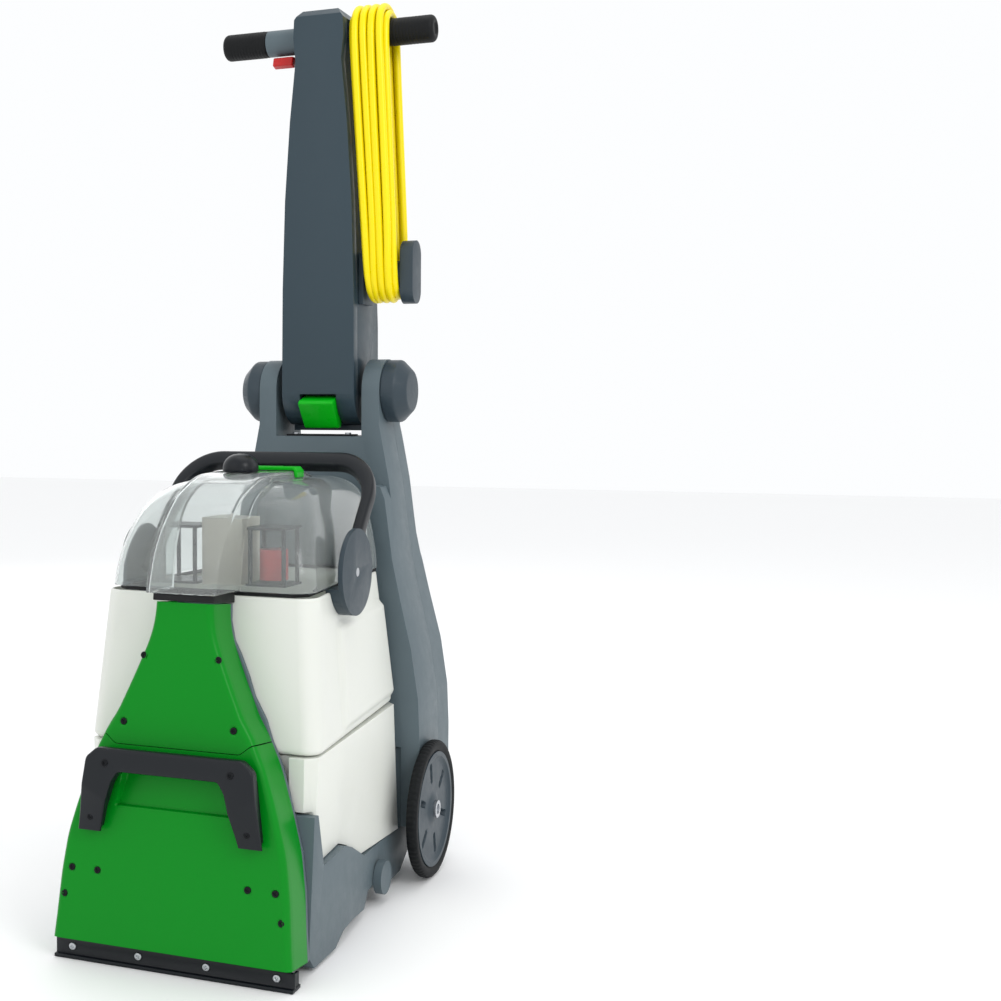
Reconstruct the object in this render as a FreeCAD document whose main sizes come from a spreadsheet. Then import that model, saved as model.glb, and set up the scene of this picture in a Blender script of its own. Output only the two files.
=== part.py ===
"""Carpet cleaner machine, built as separate sub-parts in one parametric document.

Millimetres, +Z up, the front towards -Y and +X to the left hand of the person who pushes it.
Sub-parts are drawn in the machine's own grid: X = 0 is the middle plane, Y = 0 is the nozzle lip's face and
Z = 0 is the floor. Each one is then placed back by centre_shift, so the origin is at the middle of the floor
area that the machine covers. The front group (covers, duct, carry handle) is drawn upright, and its placement
leans it back by nozzle_lean.
"""
import FreeCAD, Part
import Sketcher
import math
import operator
import os

from FreeCAD import Placement, Rotation, Vector

os.makedirs("parts", exist_ok=True)
doc = FreeCAD.newDocument("carpet_cleaner")

SIZES = {
    # whole machine
    "centre_shift": 258.15,
    "wall": 3.0,
    # leaning front group: lean in degrees, where its face meets the floor, its depth and its half widths
    "nozzle_lean": 6.36,
    "nozzle_foot": -13.45,
    "nozzle_depth": 48.0,
    "nozzle_seam": 238.0,
    "nozzle_top": 392.0,
    "nozzle_half_low": 139.5,
    "nozzle_half_waist": 100.0,
    "nozzle_half_seam": 89.0,
    "nozzle_half_top": 34.0,
    # lip, brush and base
    "lip_half": 140.0,
    "base_half_front": 138.0,
    "base_half_rear": 121.0,
    "base_top": 165.0,
    "deck_front": 107.0,
    "deck_rear": 64.0,
    "brush_place": 86.0,
    "brush_height": 33.5,
    "brush_radius": 32.5,
    "brush_core": 17.0,
    "chamber_radius": 36.0,
    "brush_pulley_radius": 20.0,
    "motor_pulley_radius": 9.0,
    "motor_place": 172.0,
    "motor_height": 62.0,
    "motor_radius": 28.0,
    "belt_side": -122.0,
    # wheels
    "axle_place": 424.0,
    "wheel_radius": 86.5,
    "wheel_face": 162.0,
    "tyre_width": 14.0,
    "tyre_bead": 72.5,
    "axle_radius": 6.35,
    "roller_place": 300.0,
    "roller_height": 31.0,
    "roller_radius": 20.0,
    # frame and fold
    "frame_front": 425.0,
    "frame_split": 482.0,
    "frame_rear": 530.0,
    "frame_low": 66.0,
    "leg_inner": 122.0,
    "leg_outer": 146.5,
    "rail_front": 400.0,
    "motor_back": 474.0,
    "fork_half": 59.0,
    "fork_floor": 558.0,
    "fold_place": 466.0,
    "fold_height": 616.0,
    "boss_radius": 40.0,
    "boss_side": 100.0,
    "boss_tip": 114.0,
    "fold_pin_radius": 8.0,
    # column and handlebar
    "column_half": 49.5,
    "column_neck": 31.0,
    "column_front": 422.0,
    "column_seam": 437.0,
    "column_back": 517.0,
    "column_top": 1100.0,
    "bar_place": 459.0,
    "bar_height": 1070.0,
    "bar_radius": 11.0,
    "bar_half": 140.0,
    "grip_radius": 17.0,
    "hook_height": 765.0,
    "hook_inner": 104.0,
    "hook_outer": 121.0,
    "cord_radius": 5.0,
    "hank_radius": 37.0,
    # tanks and lid
    "tank_front_top": 84.0,
    "tank_rear": 395.0,
    "tank_half_front": 131.0,
    "tank_half_rear": 118.0,
    "rim_half_front": 115.0,
    "rim_half_rear": 97.0,
    "tank_seam": 226.0,
    "tank_rim": 392.0,
    "lid_low": 397.0,
    "lid_top": 512.0,
    "band_half": 41.0,
    "bail_place": 194.0,
    "bail_pivot_height": 411.0,
    "bail_lean": 41.7,
    "bail_reach": 170.0,
}

sheet = doc.addObject("Spreadsheet::Sheet", "Sizes")
for row, (alias, number) in enumerate(SIZES.items(), 1):
    sheet.set(f"A{row}", alias)
    sheet.set(f"B{row}", str(number))
    sheet.setAlias(f"B{row}", alias)
doc.recompute()

OPERATIONS = {"+": operator.add, "-": operator.sub, "*": operator.mul, "/": operator.truediv}


class Size:
    """A value of the sheet, or a sum or product of them, with the expression that gives it."""

    def __init__(self, value, text):
        self.value = value
        self.text = text

    def join(self, sign, other, swapped=False):
        """The size that an arithmetic sign makes of this one and another."""
        left, right = (other, self) if swapped else (self, other)
        value = OPERATIONS[sign](number(left), number(right))
        return Size(value, f"({text(left)} {sign} {text(right)})")

    def __add__(self, other):
        return self.join("+", other)

    def __radd__(self, other):
        return self.join("+", other, True)

    def __sub__(self, other):
        return self.join("-", other)

    def __rsub__(self, other):
        return self.join("-", other, True)

    def __mul__(self, other):
        return self.join("*", other)

    def __rmul__(self, other):
        return self.join("*", other, True)

    def __truediv__(self, other):
        return self.join("/", other)

    def __neg__(self):
        return self.join("*", -1.0)


def number(size):
    """Plain value of a size or a number."""
    return size.value if isinstance(size, Size) else float(size)


def text(size):
    """Expression text of a size or a number."""
    return size.text if isinstance(size, Size) else f"{float(size):.6f}"


class Sheet:
    """Reads the sheet: every alias is an attribute that gives its Size."""

    def __getattr__(self, alias):
        return Size(float(sheet.get(alias)), f"Sizes.{alias}")


S = Sheet()
NODES = {}
LEAN = "nozzle"


def put(thing, name, size):
    """Bind a property to an expression on the sheet."""
    thing.setExpression(name, text(size))


def set_home(thing, lean=None):
    """Place a finished sub-part: back by centre_shift and, for the front group, leaned."""
    if lean == LEAN:
        thing.Placement = Placement(Vector(), Rotation(Vector(-1, 0, 0), SIZES["nozzle_lean"]))
        put(thing, "Placement.Rotation.Angle", S.nozzle_lean)
        put(thing, "Placement.Base.y", S.nozzle_foot - S.centre_shift)
    else:
        put(thing, "Placement.Base.y", -S.centre_shift)


def body(label, lean=None):
    """A new PartDesign body that is one sub-part."""
    made = doc.addObject("PartDesign::Body", f"body_{label}")
    made.Label = label
    set_home(made, lean)
    NODES[label] = made
    return made


def group(label, items, lean=None):
    """One sub-part of one or more separate solids."""
    made = doc.addObject("Part::Compound", f"group_{label}")
    made.Links = items
    made.Label = label
    set_home(made, lean)
    NODES[label] = made
    return made


# ---- sketches -------------------------------------------------------------------------------------------

PLANES = {"XY": ("XY_Plane", 1), "XZ": ("XZ_Plane", -1), "YZ": ("YZ_Plane", 1)}


def new_sketch(owner, plane, at=0.0, rise=None):
    """Sketch on one of the body's own origin planes, moved along its normal to a place on that axis."""
    sketch = owner.newObject("Sketcher::SketchObject", "sketch")
    role, sign = PLANES[plane]
    origin = [feature for feature in owner.Origin.OriginFeatures if feature.Role == role][0]
    sketch.AttachmentSupport = [(origin, "")]
    sketch.MapMode = "FlatFace"
    put(sketch, "AttachmentOffset.Base.z", at * sign if isinstance(at, Size) else float(at) * sign)
    if rise is not None:
        put(sketch, "AttachmentOffset.Base.y", rise)
    return sketch


def pin_point(sketch, edge, end, point):
    """Fix one end of an edge, or a circle's centre, at a point whose coordinates are sizes."""
    for axis, size in zip(("DistanceX", "DistanceY"), point):
        if number(size) == 0:
            sketch.addConstraint(Sketcher.Constraint("PointOnObject", edge, end, -2 if axis[-1] == "X" else -1))
            continue
        index = sketch.addConstraint(Sketcher.Constraint(axis, -1, 1, edge, end, number(size)))
        if isinstance(size, Size):
            sketch.setExpression(f"Constraints[{index}]", size.text)


def plain(point):
    """Sketch point as a vector."""
    return Vector(number(point[0]), number(point[1]), 0)


def arc_middle(start, end, radius):
    """Middle of an arc over a chord; a positive radius bulges to the left of the way from start to end."""
    chord = end - start
    half = chord.Length / 2
    size = max(abs(radius), half)
    rise = size - math.sqrt(max(size * size - half * half, 0))
    left = Vector(-chord.y, chord.x, 0).normalize()
    return (start + end) * 0.5 + left * math.copysign(rise, radius)


def draw(sketch, points, arcs=None):
    """Closed outline through the points; arcs gives the radius of each edge that is an arc, by its number."""
    arcs = arcs or {}
    ends = []
    for index, point in enumerate(points):
        start = plain(point)
        end = plain(points[(index + 1) % len(points)])
        if index not in arcs:
            edge = sketch.addGeometry(Part.LineSegment(start, end))
            ends.append((edge, 1, 2))
            continue
        middle = arc_middle(start, end, number(arcs[index]))
        edge = sketch.addGeometry(Part.Arc(start, middle, end))
        first = 1 if sketch.getPoint(edge, 1).distanceToPoint(start) < 1e-6 else 2
        ends.append((edge, first, 3 - first))
    for index, (edge, first, last) in enumerate(ends):
        following = ends[(index + 1) % len(ends)]
        sketch.addConstraint(Sketcher.Constraint("Coincident", edge, last, following[0], following[1]))
        pin_point(sketch, edge, first, points[index])
    for index, radius in arcs.items():
        start, end = points[index], points[(index + 1) % len(points)]
        if (plain(end) - plain(start)).Length > 1.999 * abs(number(radius)):
            hold_centre(sketch, ends[index][0], start, end)
            continue
        row = sketch.addConstraint(Sketcher.Constraint("Radius", ends[index][0], abs(number(radius))))
        if isinstance(radius, Size):
            sketch.setExpression(f"Constraints[{row}]", f"abs({radius.text})")


def hold_centre(sketch, edge, start, end):
    """Keep the centre of a half circle on its own level or upright chord."""
    level = number(start[1]) == number(end[1])
    axis, size = ("DistanceY", start[1]) if level else ("DistanceX", start[0])
    row = sketch.addConstraint(Sketcher.Constraint(axis, -1, 1, edge, 3, number(size)))
    if isinstance(size, Size):
        sketch.setExpression(f"Constraints[{row}]", size.text)


def draw_circle(sketch, centre, radius):
    """Circle with a fixed centre and a bound radius."""
    edge = sketch.addGeometry(Part.Circle(plain(centre), Vector(0, 0, 1), number(radius)))
    pin_point(sketch, edge, 3, centre)
    row = sketch.addConstraint(Sketcher.Constraint("Radius", edge, number(radius)))
    if isinstance(radius, Size):
        sketch.setExpression(f"Constraints[{row}]", radius.text)


def mirrored(points):
    """Outline that is symmetric about the middle plane, from its right half listed from low to high."""
    return list(points) + [(-1.0 * x if isinstance(x, Size) else -x, z) for x, z in reversed(points)]


# ---- features -------------------------------------------------------------------------------------------


def feature(owner, kind, sketch, length, reverse):
    """Pad or Pocket of a sketch."""
    made = owner.newObject(f"PartDesign::{kind}", kind.lower())
    made.Profile = sketch
    made.Reversed = reverse
    put(made, "Length", length)
    sketch.Visibility = False
    return made


def pad(owner, plane, points, start, length, arcs=None):
    """Add the outline's prism, from start along the plane's own row axis."""
    sketch = new_sketch(owner, plane, start)
    draw(sketch, points, arcs)
    return feature(owner, "Pad", sketch, length, PLANES[plane][1] < 0)


def pocket(owner, plane, points, start, length, arcs=None):
    """Take the outline's prism away, from start along the plane's own row axis."""
    sketch = new_sketch(owner, plane, start)
    draw(sketch, points, arcs)
    return feature(owner, "Pocket", sketch, length, PLANES[plane][1] > 0)


def round_pad(owner, plane, circles, start, length):
    """Add round bars: circles are (centre, radius) pairs."""
    sketch = new_sketch(owner, plane, start)
    for centre, radius in circles:
        draw_circle(sketch, centre, radius)
    return feature(owner, "Pad", sketch, length, PLANES[plane][1] < 0)


def round_pocket(owner, plane, circles, start, length):
    """Take round holes away: circles are (centre, radius) pairs."""
    sketch = new_sketch(owner, plane, start)
    for centre, radius in circles:
        draw_circle(sketch, centre, radius)
    return feature(owner, "Pocket", sketch, length, PLANES[plane][1] > 0)


def revolve(owner, points, place, height, arcs=None):
    """Turn a section (x, radius) about the line along X through a place and a height."""
    sketch = new_sketch(owner, "XZ", place, height)
    draw(sketch, points, arcs)
    made = owner.newObject("PartDesign::Revolution", "revolution")
    made.Profile = sketch
    made.ReferenceAxis = (sketch, ["H_Axis"])
    made.Angle = 360
    return made


def dress(owner, kind, size, wanted):
    """Fillet or chamfer every edge of the body that the test picks."""
    doc.recompute()
    tip = owner.Tip
    names = [f"Edge{n}" for n, edge in enumerate(tip.Shape.Edges, 1) if wanted(edge)]
    made = owner.newObject(f"PartDesign::{kind}", kind.lower())
    made.Base = (tip, names)
    put(made, "Radius" if kind == "Fillet" else "Size", size)
    return made


# ---- primitives -----------------------------------------------------------------------------------------

TURNS = {"X": Rotation(Vector(0, 1, 0), 90), "Y": Rotation(Vector(1, 0, 0), -90), "Z": Rotation()}


def settle(thing, corner):
    """Bind a primitive's place."""
    for name, size in zip("xyz", corner):
        put(thing, f"Placement.Base.{name}", size)
    return thing


def box(corner, sides):
    """Block from its lowest corner and its sides."""
    made = doc.addObject("Part::Box", "box")
    for name, size in zip(("Length", "Width", "Height"), sides):
        put(made, name, size)
    return settle(made, corner)


def rod(axis, start, radius, length):
    """Round bar along a row axis."""
    made = doc.addObject("Part::Cylinder", "rod")
    made.Placement = Placement(Vector(), TURNS[axis])
    put(made, "Radius", radius)
    put(made, "Height", length)
    return settle(made, start)


def cone(axis, start, radius, far_radius, length):
    """Tapered bar along a row axis."""
    made = doc.addObject("Part::Cone", "cone")
    made.Placement = Placement(Vector(), TURNS[axis])
    put(made, "Radius1", radius)
    put(made, "Radius2", far_radius)
    put(made, "Height", length)
    return settle(made, start)


def fuse(items):
    """Several shapes joined."""
    made = doc.addObject("Part::MultiFuse", "fuse")
    made.Shapes = items
    return made


def cut(base, tool):
    """A shape with another taken away."""
    made = doc.addObject("Part::Cut", "cut")
    made.Base = base
    made.Tool = tool if not isinstance(tool, list) else fuse(tool)
    return made


def tube(axis, start, radius, bore, length):
    """Round bar with a bore right through."""
    return cut(rod(axis, start, radius, length), rod(axis, start, bore, length))


def pan_head(point, axis, radius, height):
    """Screw: a low head with a shank behind it. The axis letter and sign say where the shank points."""
    letter, sign = axis
    offset = {"X": Vector(1, 0, 0), "Y": Vector(0, 1, 0), "Z": Vector(0, 0, 1)}[letter]
    reach = 8.0
    low = [c + (0.0 if sign > 0 else -1.0 * height * o) for c, o in zip(point, offset)]
    head = rod(letter, low, radius, height)
    start = [c + o * (height if sign > 0 else -1.0 * height - reach) for c, o in zip(point, offset)]
    return fuse([head, rod(letter, start, radius * 0.5, reach)])


def free_shape(label, shape):
    """Sub-part whose surface is worked out with Part's own functions."""
    made = doc.addObject("Part::Feature", f"shape_{label}")
    made.Shape = shape
    made.Label = label
    set_home(made)
    NODES[label] = made
    return made


# ---- base tray, brush and drive -------------------------------------------------------------------------


def base_tray():
    """Floor nozzle's chassis: brush chamber, belt room, motor deck and axle block."""
    made = body("base_tray")
    foot = 44.5
    outline = [
        (foot, 20), (60, 4), (124, 4), (150, 16), (190, 15), (240, 10), (258, 26), (338, 26), (344, 8), (402, 8),
        (440, 30), (500, 45), (500, S.base_top), (405, S.base_top), (400, S.deck_rear), (240, S.deck_rear + 10),
        (184, S.deck_front - 7), (157, S.deck_front + 2), (114, S.deck_front), (88, S.deck_front),
        (72, S.base_top), (60.5, S.base_top),
    ]
    pad(made, "YZ", outline, -S.base_half_front, S.base_half_front * 2)
    for side in (1, -1):
        wedge = [
            (S.base_half_front * side, 150), (S.base_half_front * side, 510),
            (S.base_half_rear * side, 510), (S.base_half_rear * side, 400), ((S.base_half_rear + 3) * side, 310),
        ]
        pocket(made, "XY", wedge, 0, 170)
    low, high = S.brush_place - S.chamber_radius, S.brush_place + S.chamber_radius
    chamber = [(low, -1), (high, -1), (high, S.brush_height), (low, S.brush_height)]
    pocket(made, "YZ", chamber, -112, 237, {2: -S.chamber_radius})
    belt_room = [(58, -1), (206, -1), (206, 78), (170, 86), (58, 62)]
    pocket(made, "YZ", belt_room, S.belt_side - 7, 14)
    deck = [
        (126, -1), (396, -1), (396, S.deck_rear - 4), (240, S.deck_rear + 6), (184, S.deck_front - 11),
        (157, S.deck_front - 2), (126, S.deck_front - 3),
    ]
    pocket(made, "YZ", deck, -111, 222)
    pocket(made, "YZ", [(441, -1), (495, -1), (495, 160), (441, 160)], -110, 220)
    holes = [((S.axle_place, S.wheel_radius), S.axle_radius + 0.05)]
    round_pocket(made, "YZ", holes, -150, 300)
    shafts = [((S.brush_place, S.brush_height), 6.05), ((S.motor_place, S.motor_height), 4.05)]
    round_pocket(made, "YZ", shafts, -132, 25)
    round_pocket(made, "YZ", shafts[:1], 120, 12)
    round_pocket(made, "YZ", [((S.roller_place, S.roller_height), 4.0)], -150, 300)
    return made


def bottom_cover():
    """Plate that closes the motor deck from below."""
    made = body("bottom_cover")
    pad(made, "XY", [(-110.5, 126.5), (110.5, 126.5), (110.5, 395.5), (-110.5, 395.5)], 26.5, S.wall)
    slots = [(x, y) for x in (-60, 0, 60) for y in (250, 262, 274)]
    for x, y in slots:
        pocket(made, "XY", [(x - 18, y), (x + 18, y), (x + 18, y + 4), (x - 18, y + 4)], 26, 5)


def base_screws():
    """Pan-head screws of the bottom cover and of the catch plate."""
    cover = [pan_head((x, y, 24.4), ("Z", 1), 4.0, 2.0) for x in (-98, 98) for y in (140, 260, 382)]
    catch = [pan_head((x, 439, S.fork_floor + 4.5), ("Z", -1), 4.0, 2.0) for x in (-36, 36)]
    group("base_screws", cover + catch)


def brush_roll():
    """Brush core with its shaft and its pulley, on the machine's cross axis."""
    made = body("brush_roll")
    half = 108.0
    core, shaft, rim = S.brush_core, 6.0, S.brush_pulley_radius
    belt_low, belt_high = S.belt_side - 5.0, S.belt_side + 5.0
    section = [
        (belt_low, 0), (131.5, 0), (131.5, shaft), (half + 10, shaft), (half + 10, core), (-half, core),
        (-half, shaft), (belt_high, shaft), (belt_high, rim), (belt_low, rim),
    ]
    revolve(made, section, S.brush_place, S.brush_height)


def brush_bristles():
    """Bristle rows: two opposed spiral bands simplified to six straight rows."""
    rows = []
    for index in range(6):
        row = box((-104, -2.5, S.brush_core + 0.1), (218, 5, S.brush_radius - S.brush_core - 0.1))
        turned = doc.addObject("Part::Compound", "row")
        turned.Links = [row]
        turned.Placement = Placement(Vector(), Rotation(Vector(1, 0, 0), 60.0 * index))
        put(turned, "Placement.Base.y", S.brush_place)
        put(turned, "Placement.Base.z", S.brush_height)
        rows.append(turned)
    group("brush_bristles", rows)


def drive():
    """Brush motor with its pulley, and the belt."""
    group("brush_motor", [rod("X", (-106, S.motor_place, S.motor_height), S.motor_radius, 160)])
    pulley = fuse([
        rod("X", (S.belt_side - 5, S.motor_place, S.motor_height), S.motor_pulley_radius, 10),
        rod("X", (S.belt_side, S.motor_place, S.motor_height), 4.0, 15.7),
    ])
    group("motor_pulley", [pulley])
    near = Vector(number(S.brush_place), number(S.brush_height), 0)
    far = Vector(number(S.motor_place), number(S.motor_height), 0)

    def loop(grow):
        """Face of the belt's side view, grown from the pulleys."""
        radii = number(S.brush_pulley_radius) + grow, number(S.motor_pulley_radius) + grow
        way = far - near
        lean = math.atan2(way.y, way.x)
        spread = math.acos((radii[0] - radii[1]) / way.Length)
        points = []
        for side in (1, -1):
            out = Vector(math.cos(lean + side * spread), math.sin(lean + side * spread), 0)
            points.append((near + out * radii[0], far + out * radii[1]))
        (a, b), (c, d) = points
        back = near - way.normalize() * radii[0]
        tip = far + way * radii[1]
        edges = [Part.makeLine(a, b), Part.Arc(b, tip, d).toShape(), Part.makeLine(d, c),
                 Part.Arc(c, back, a).toShape()]
        return Part.Face(Part.Wire(edges))

    ring = loop(1.6).cut(loop(0.05)).extrude(Vector(0, 0, 7))
    ring.rotate(Vector(), Vector(1, 1, 1), 120)
    ring.translate(Vector(number(S.belt_side) - 3.5, 0, 0))
    free_shape("drive_belt", ring)


def deck_parts():
    """Water pump and the spray bar that it feeds."""
    pump = fuse([box((-30, 262, 30.5), (64, 44, 26)), rod("X", (34, 284, 43.5), 12, 30)])
    jets = [rod("Z", (x, 134, 32), 2.5, 12) for x in (-75, -25, 25, 75)]
    group("water_pump", [pump, fuse([rod("X", (-92, 134, 44), 5, 188)] + jets)])


def axle_parts():
    """Axle rod, wheels and push nuts."""
    centre = (S.axle_place, S.wheel_radius)
    for name, side in (("left", 1), ("right", -1)):
        hub = body(f"wheel_hub_{name}")
        inner = S.wheel_face - S.tyre_width
        bead = S.tyre_bead
        section = [
            (inner + 4, S.axle_radius + 0.05), (S.wheel_face - 1, S.axle_radius + 0.05), (S.wheel_face - 1, 16),
            (S.wheel_face - 7, 20), (S.wheel_face - 9, 58), (S.wheel_face - 3, 64), (S.wheel_face - 3, bead),
            (inner + 3, bead), (inner + 3, 64), (S.wheel_face - 14, 60), (S.wheel_face - 14, 22), (inner + 4, 20),
        ]
        revolve(hub, [(x * side, r) for x, r in section], *centre)
        tyre = body(f"tyre_{name}")
        outer = [
            (inner + 2, bead), (S.wheel_face - 2, bead), (S.wheel_face, bead + 4), (S.wheel_face, S.wheel_radius - 6),
            (S.wheel_face - 6, S.wheel_radius), (inner + 6, S.wheel_radius), (inner, S.wheel_radius - 6),
            (inner, bead + 4),
        ]
        revolve(tyre, [(x * side, r) for x, r in outer], *centre)
    group("push_nuts", [
        cut(rod("X", (x, *centre), 11, 3), rod("X", (x - 1, *centre), S.axle_radius + 0.01, 5))
        for x in (S.wheel_face - 0.7, -S.wheel_face - 2.3)
    ])
    place = (S.roller_place, S.roller_height)
    for name, low, bore in (("left", 127, 126), ("right", -137, -134)):
        wheel = cut(rod("X", (low, *place), S.roller_radius, 10), rod("X", (bore, *place), 4.05, 8))
        group(f"roller_{name}", [wheel])
    pins = [rod("X", (start, *place), 4.0, 15.8) for start in (118, -133.8)]
    group("axles", [rod("X", (-S.wheel_face, *centre), S.axle_radius, S.wheel_face * 2)] + pins)


# ---- leaning front group --------------------------------------------------------------------------------

LOWER_SIDE = [
    (S.nozzle_half_low, 24), (S.nozzle_half_low - 2.5, 51), (134, 96), (128, 137), (119, 168), (110.5, 196),
    (S.nozzle_half_waist + 1, 225),
]
SEAM_SIDE = [(S.nozzle_half_seam, 248.6), (70, S.nozzle_seam)]
UPPER_SIDE = [
    (S.nozzle_half_seam - 0.5, 249), (80, 272), (66, 295), (58.5, 315), (47.5, 339), (39, 354),
    (S.nozzle_half_top + 0.5, 374), (S.nozzle_half_top, S.nozzle_top),
]


def inset(points, amount):
    """Right-hand outline moved in towards the middle."""
    return [(x - amount, z) for x, z in points]


COVER_SCREWS = ((43.8, 334), (64.5, 262), (88, 101), (119, 101), (127, 72))


def screw_recesses(owner, places):
    """Round recesses that the cover screws' heads sit in."""
    circles = [((x * side, z), 4.7) for x, z in places for side in (1, -1)]
    round_pocket(owner, "XZ", circles, -1, 2.4)


def lower_cover():
    """Wide nozzle cover with the carry handle's finger recess."""
    made = body("cover_lower", LEAN)
    pad(made, "XZ", mirrored(LOWER_SIDE + [(x, z - 0.4) for x, z in SEAM_SIDE]), 0, S.nozzle_depth)
    low = inset(LOWER_SIDE[:5], 4)
    low[0] = (low[0][0], 23)
    pocket(made, "XZ", mirrored(low + [(112, 172)]), S.wall, S.nozzle_depth)
    pocket(made, "XZ", mirrored([(108, 171), (94, 225), (82, 245), (66, 250)]), 20, S.nozzle_depth)
    pocket(made, "XZ", mirrored([(70, 172), (58, 231)]), -1, 16)
    dress(made, "Fillet", 6, lambda edge: edge.BoundBox.YMax < 0.01 and edge.BoundBox.ZMin > 30
          and abs(edge.BoundBox.Center.x) > 72)
    screw_recesses(made, COVER_SCREWS[2:])


def upper_cover():
    """Narrow duct cover above the seam."""
    made = body("cover_upper", LEAN)
    outline = mirrored([(70, S.nozzle_seam)] + UPPER_SIDE)
    pad(made, "XZ", outline, 0, S.nozzle_depth)
    inner = [(66, S.nozzle_seam - 1), (66, 262)] + inset(UPPER_SIDE[2:-1], 4) + [(30, 393)]
    pocket(made, "XZ", mirrored(inner), S.wall, S.nozzle_depth)
    screw_recesses(made, COVER_SCREWS[:2])


def duct_back():
    """Rear half of the suction duct."""
    made = body("duct_back", LEAN)
    outline = LOWER_SIDE + [(S.nozzle_half_seam, 248.6)] + UPPER_SIDE[1:]
    pad(made, "XZ", mirrored(outline), S.nozzle_depth + 0.4, 5.5)


def duct_seal():
    """Seal between the duct's top and the lid."""
    made = body("duct_top_seal")
    pad(made, "YZ", [(30, 390.7), (83.7, 384.8), (84, 398.7), (31, 398.7)], -36, 72)
    pocket(made, "XY", [(-30, 37), (30, 37), (30, 78), (-30, 78)], 380, 20)


def nozzle_lip():
    """Suction lip across the front of the mouth."""
    made = body("nozzle_lip")
    half, high = S.lip_half, 19.5
    pad(made, "XZ", [(-half, 1.5), (half, 1.5), (half, high), (-half, high)], 0, 3)
    pad(made, "XZ", [(-half, 0), (half, 0), (half, 3.5), (-half, 3.5)], -5, 21)
    for x in (-139, -100, -60, -20, 17, 57, 97, 136):
        pad(made, "XZ", [(x, 2), (x + 3, 2), (x + 3, high - 2), (x, high - 2)], 0, 14)
    holes = [((x, 12), 2.2) for x in (-120, -40, 40, 120)]
    round_pocket(made, "XZ", holes, -1, 5)


def front_fasteners():
    """Screws of the lip, the covers and the carry handle."""
    group("lip_screws", [pan_head((x, 0, 12), ("Y", 1), 4.2, 0.1) for x in (-120, -40, 40, 120)])
    handle = [(73, -23.5, 219), (91, -16, 160)]
    covers = [(x, 0.2, z) for x, z in COVER_SCREWS]
    group("cover_screws", [
        pan_head((x * side, depth, z), ("Y", 1), 3.8, 1.4) for x, depth, z in covers + handle for side in (1, -1)
    ], LEAN)


def front_handle():
    """Carry handle: a cross bar that stands in front of the recess on two feet."""
    made = body("front_handle", LEAN)
    outer = [(107, 145), (97, 224), (84, 235)]
    pad(made, "XZ", mirrored(outer), -22, 14)
    inner = [(80, 140), (65, 200), (58, 211)]
    pocket(made, "XZ", mirrored(inner), -23, 30)
    for side in (1, -1):
        foot = [(81 * side, 146), (106 * side, 146), (94 * side, 216), (71 * side, 216)]
        pad(made, "XZ", foot, -9, 8.7)
    pocket(made, "YZ", [(-30, 140), (-10, 140), (-22, 195), (-30, 195)], -110, 220)


# ---- A-frame --------------------------------------------------------------------------------------------

FRAME_SIDE = [
    (S.leg_outer, 167), (S.leg_outer, 176), (144.3, 229), (134.8, 291), (120, 354), (109.2, 404), (102.4, 454),
    (96, 503), (88, 545), (82.5, 573), (82.5, 660), (S.fork_half, 660), (S.fork_half, S.fork_floor),
]
MOTOR_ROOM = [(116, 184), (110, 300), (98, 402), (88, 503), (80, 545)]


def frame_half(label, start, length):
    """One shell of the A-frame with its cheeks, its two legs, its fork slot and its pin and axle holes."""
    made = body(label)
    pad(made, "XZ", mirrored(FRAME_SIDE), start, length)
    for side in (1, -1):
        leg = [(S.leg_inner, S.frame_low), (S.leg_outer, S.frame_low), (S.leg_outer, 168), (S.leg_inner, 168)]
        pad(made, "XZ", [(x * side, z) for x, z in leg], start, length)
    low, high = S.fold_place - 41, S.fold_place + 41
    crown = [(low, S.fold_height), (low, 665), (high, 665), (high, S.fold_height)]
    pocket(made, "YZ", crown, -150, 300, {3: -41})
    round_pocket(made, "YZ", [((S.fold_place, S.fold_height), S.fold_pin_radius)], -150, 300)
    round_pocket(made, "YZ", [((S.axle_place, S.wheel_radius), S.axle_radius + 0.05)], -150, 300)
    return made


def frame_front_shell():
    """Front shell of the A-frame with the two rails that guide the tank."""
    made = frame_half("frame_front", S.frame_front, S.frame_split - S.frame_front - 0.2)
    for side in (1, -1):
        rail = [
            (S.leg_inner, S.frame_low), (S.leg_outer, S.frame_low), (S.leg_outer, 176), (144.3, 229), (134.8, 291),
            (120, 354), (109.2, 404), (102.4, 454), (99, 480), (93, 495), (84, 497), (76, 490), (74, 480), (82, 167),
            (S.leg_inner, 167),
        ]
        pad(made, "XZ", [(x * side, z) for x, z in rail], S.rail_front, S.frame_front - S.rail_front + 1)
    pocket(made, "XZ", mirrored(MOTOR_ROOM), S.frame_front + 4, 60)
    round_pocket(made, "YZ", [((S.axle_place, S.wheel_radius), S.axle_radius + 0.05)], -150, 300)


def frame_back_shell():
    """Rear shell of the A-frame."""
    made = frame_half("frame_back", S.frame_split, S.frame_rear - S.frame_split)
    rear = S.frame_rear
    slope = [(507, 670), (507, S.fold_height), (512, 558), (512, 430), (521, 395), (rear, 285), (550, 285),
             (550, 670)]
    pocket(made, "YZ", slope, -150, 300)
    pocket(made, "XZ", mirrored(MOTOR_ROOM), S.frame_split - 1, 26)
    pocket(made, "XZ", mirrored([(112, 184), (108, 300), (98, 330)]), S.frame_split, 42)
    for index in range(6):
        z = 205 + 12 * index
        pocket(made, "XZ", mirrored([(44, z), (44, z + 5)]), S.frame_rear - 12, 14)


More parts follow.
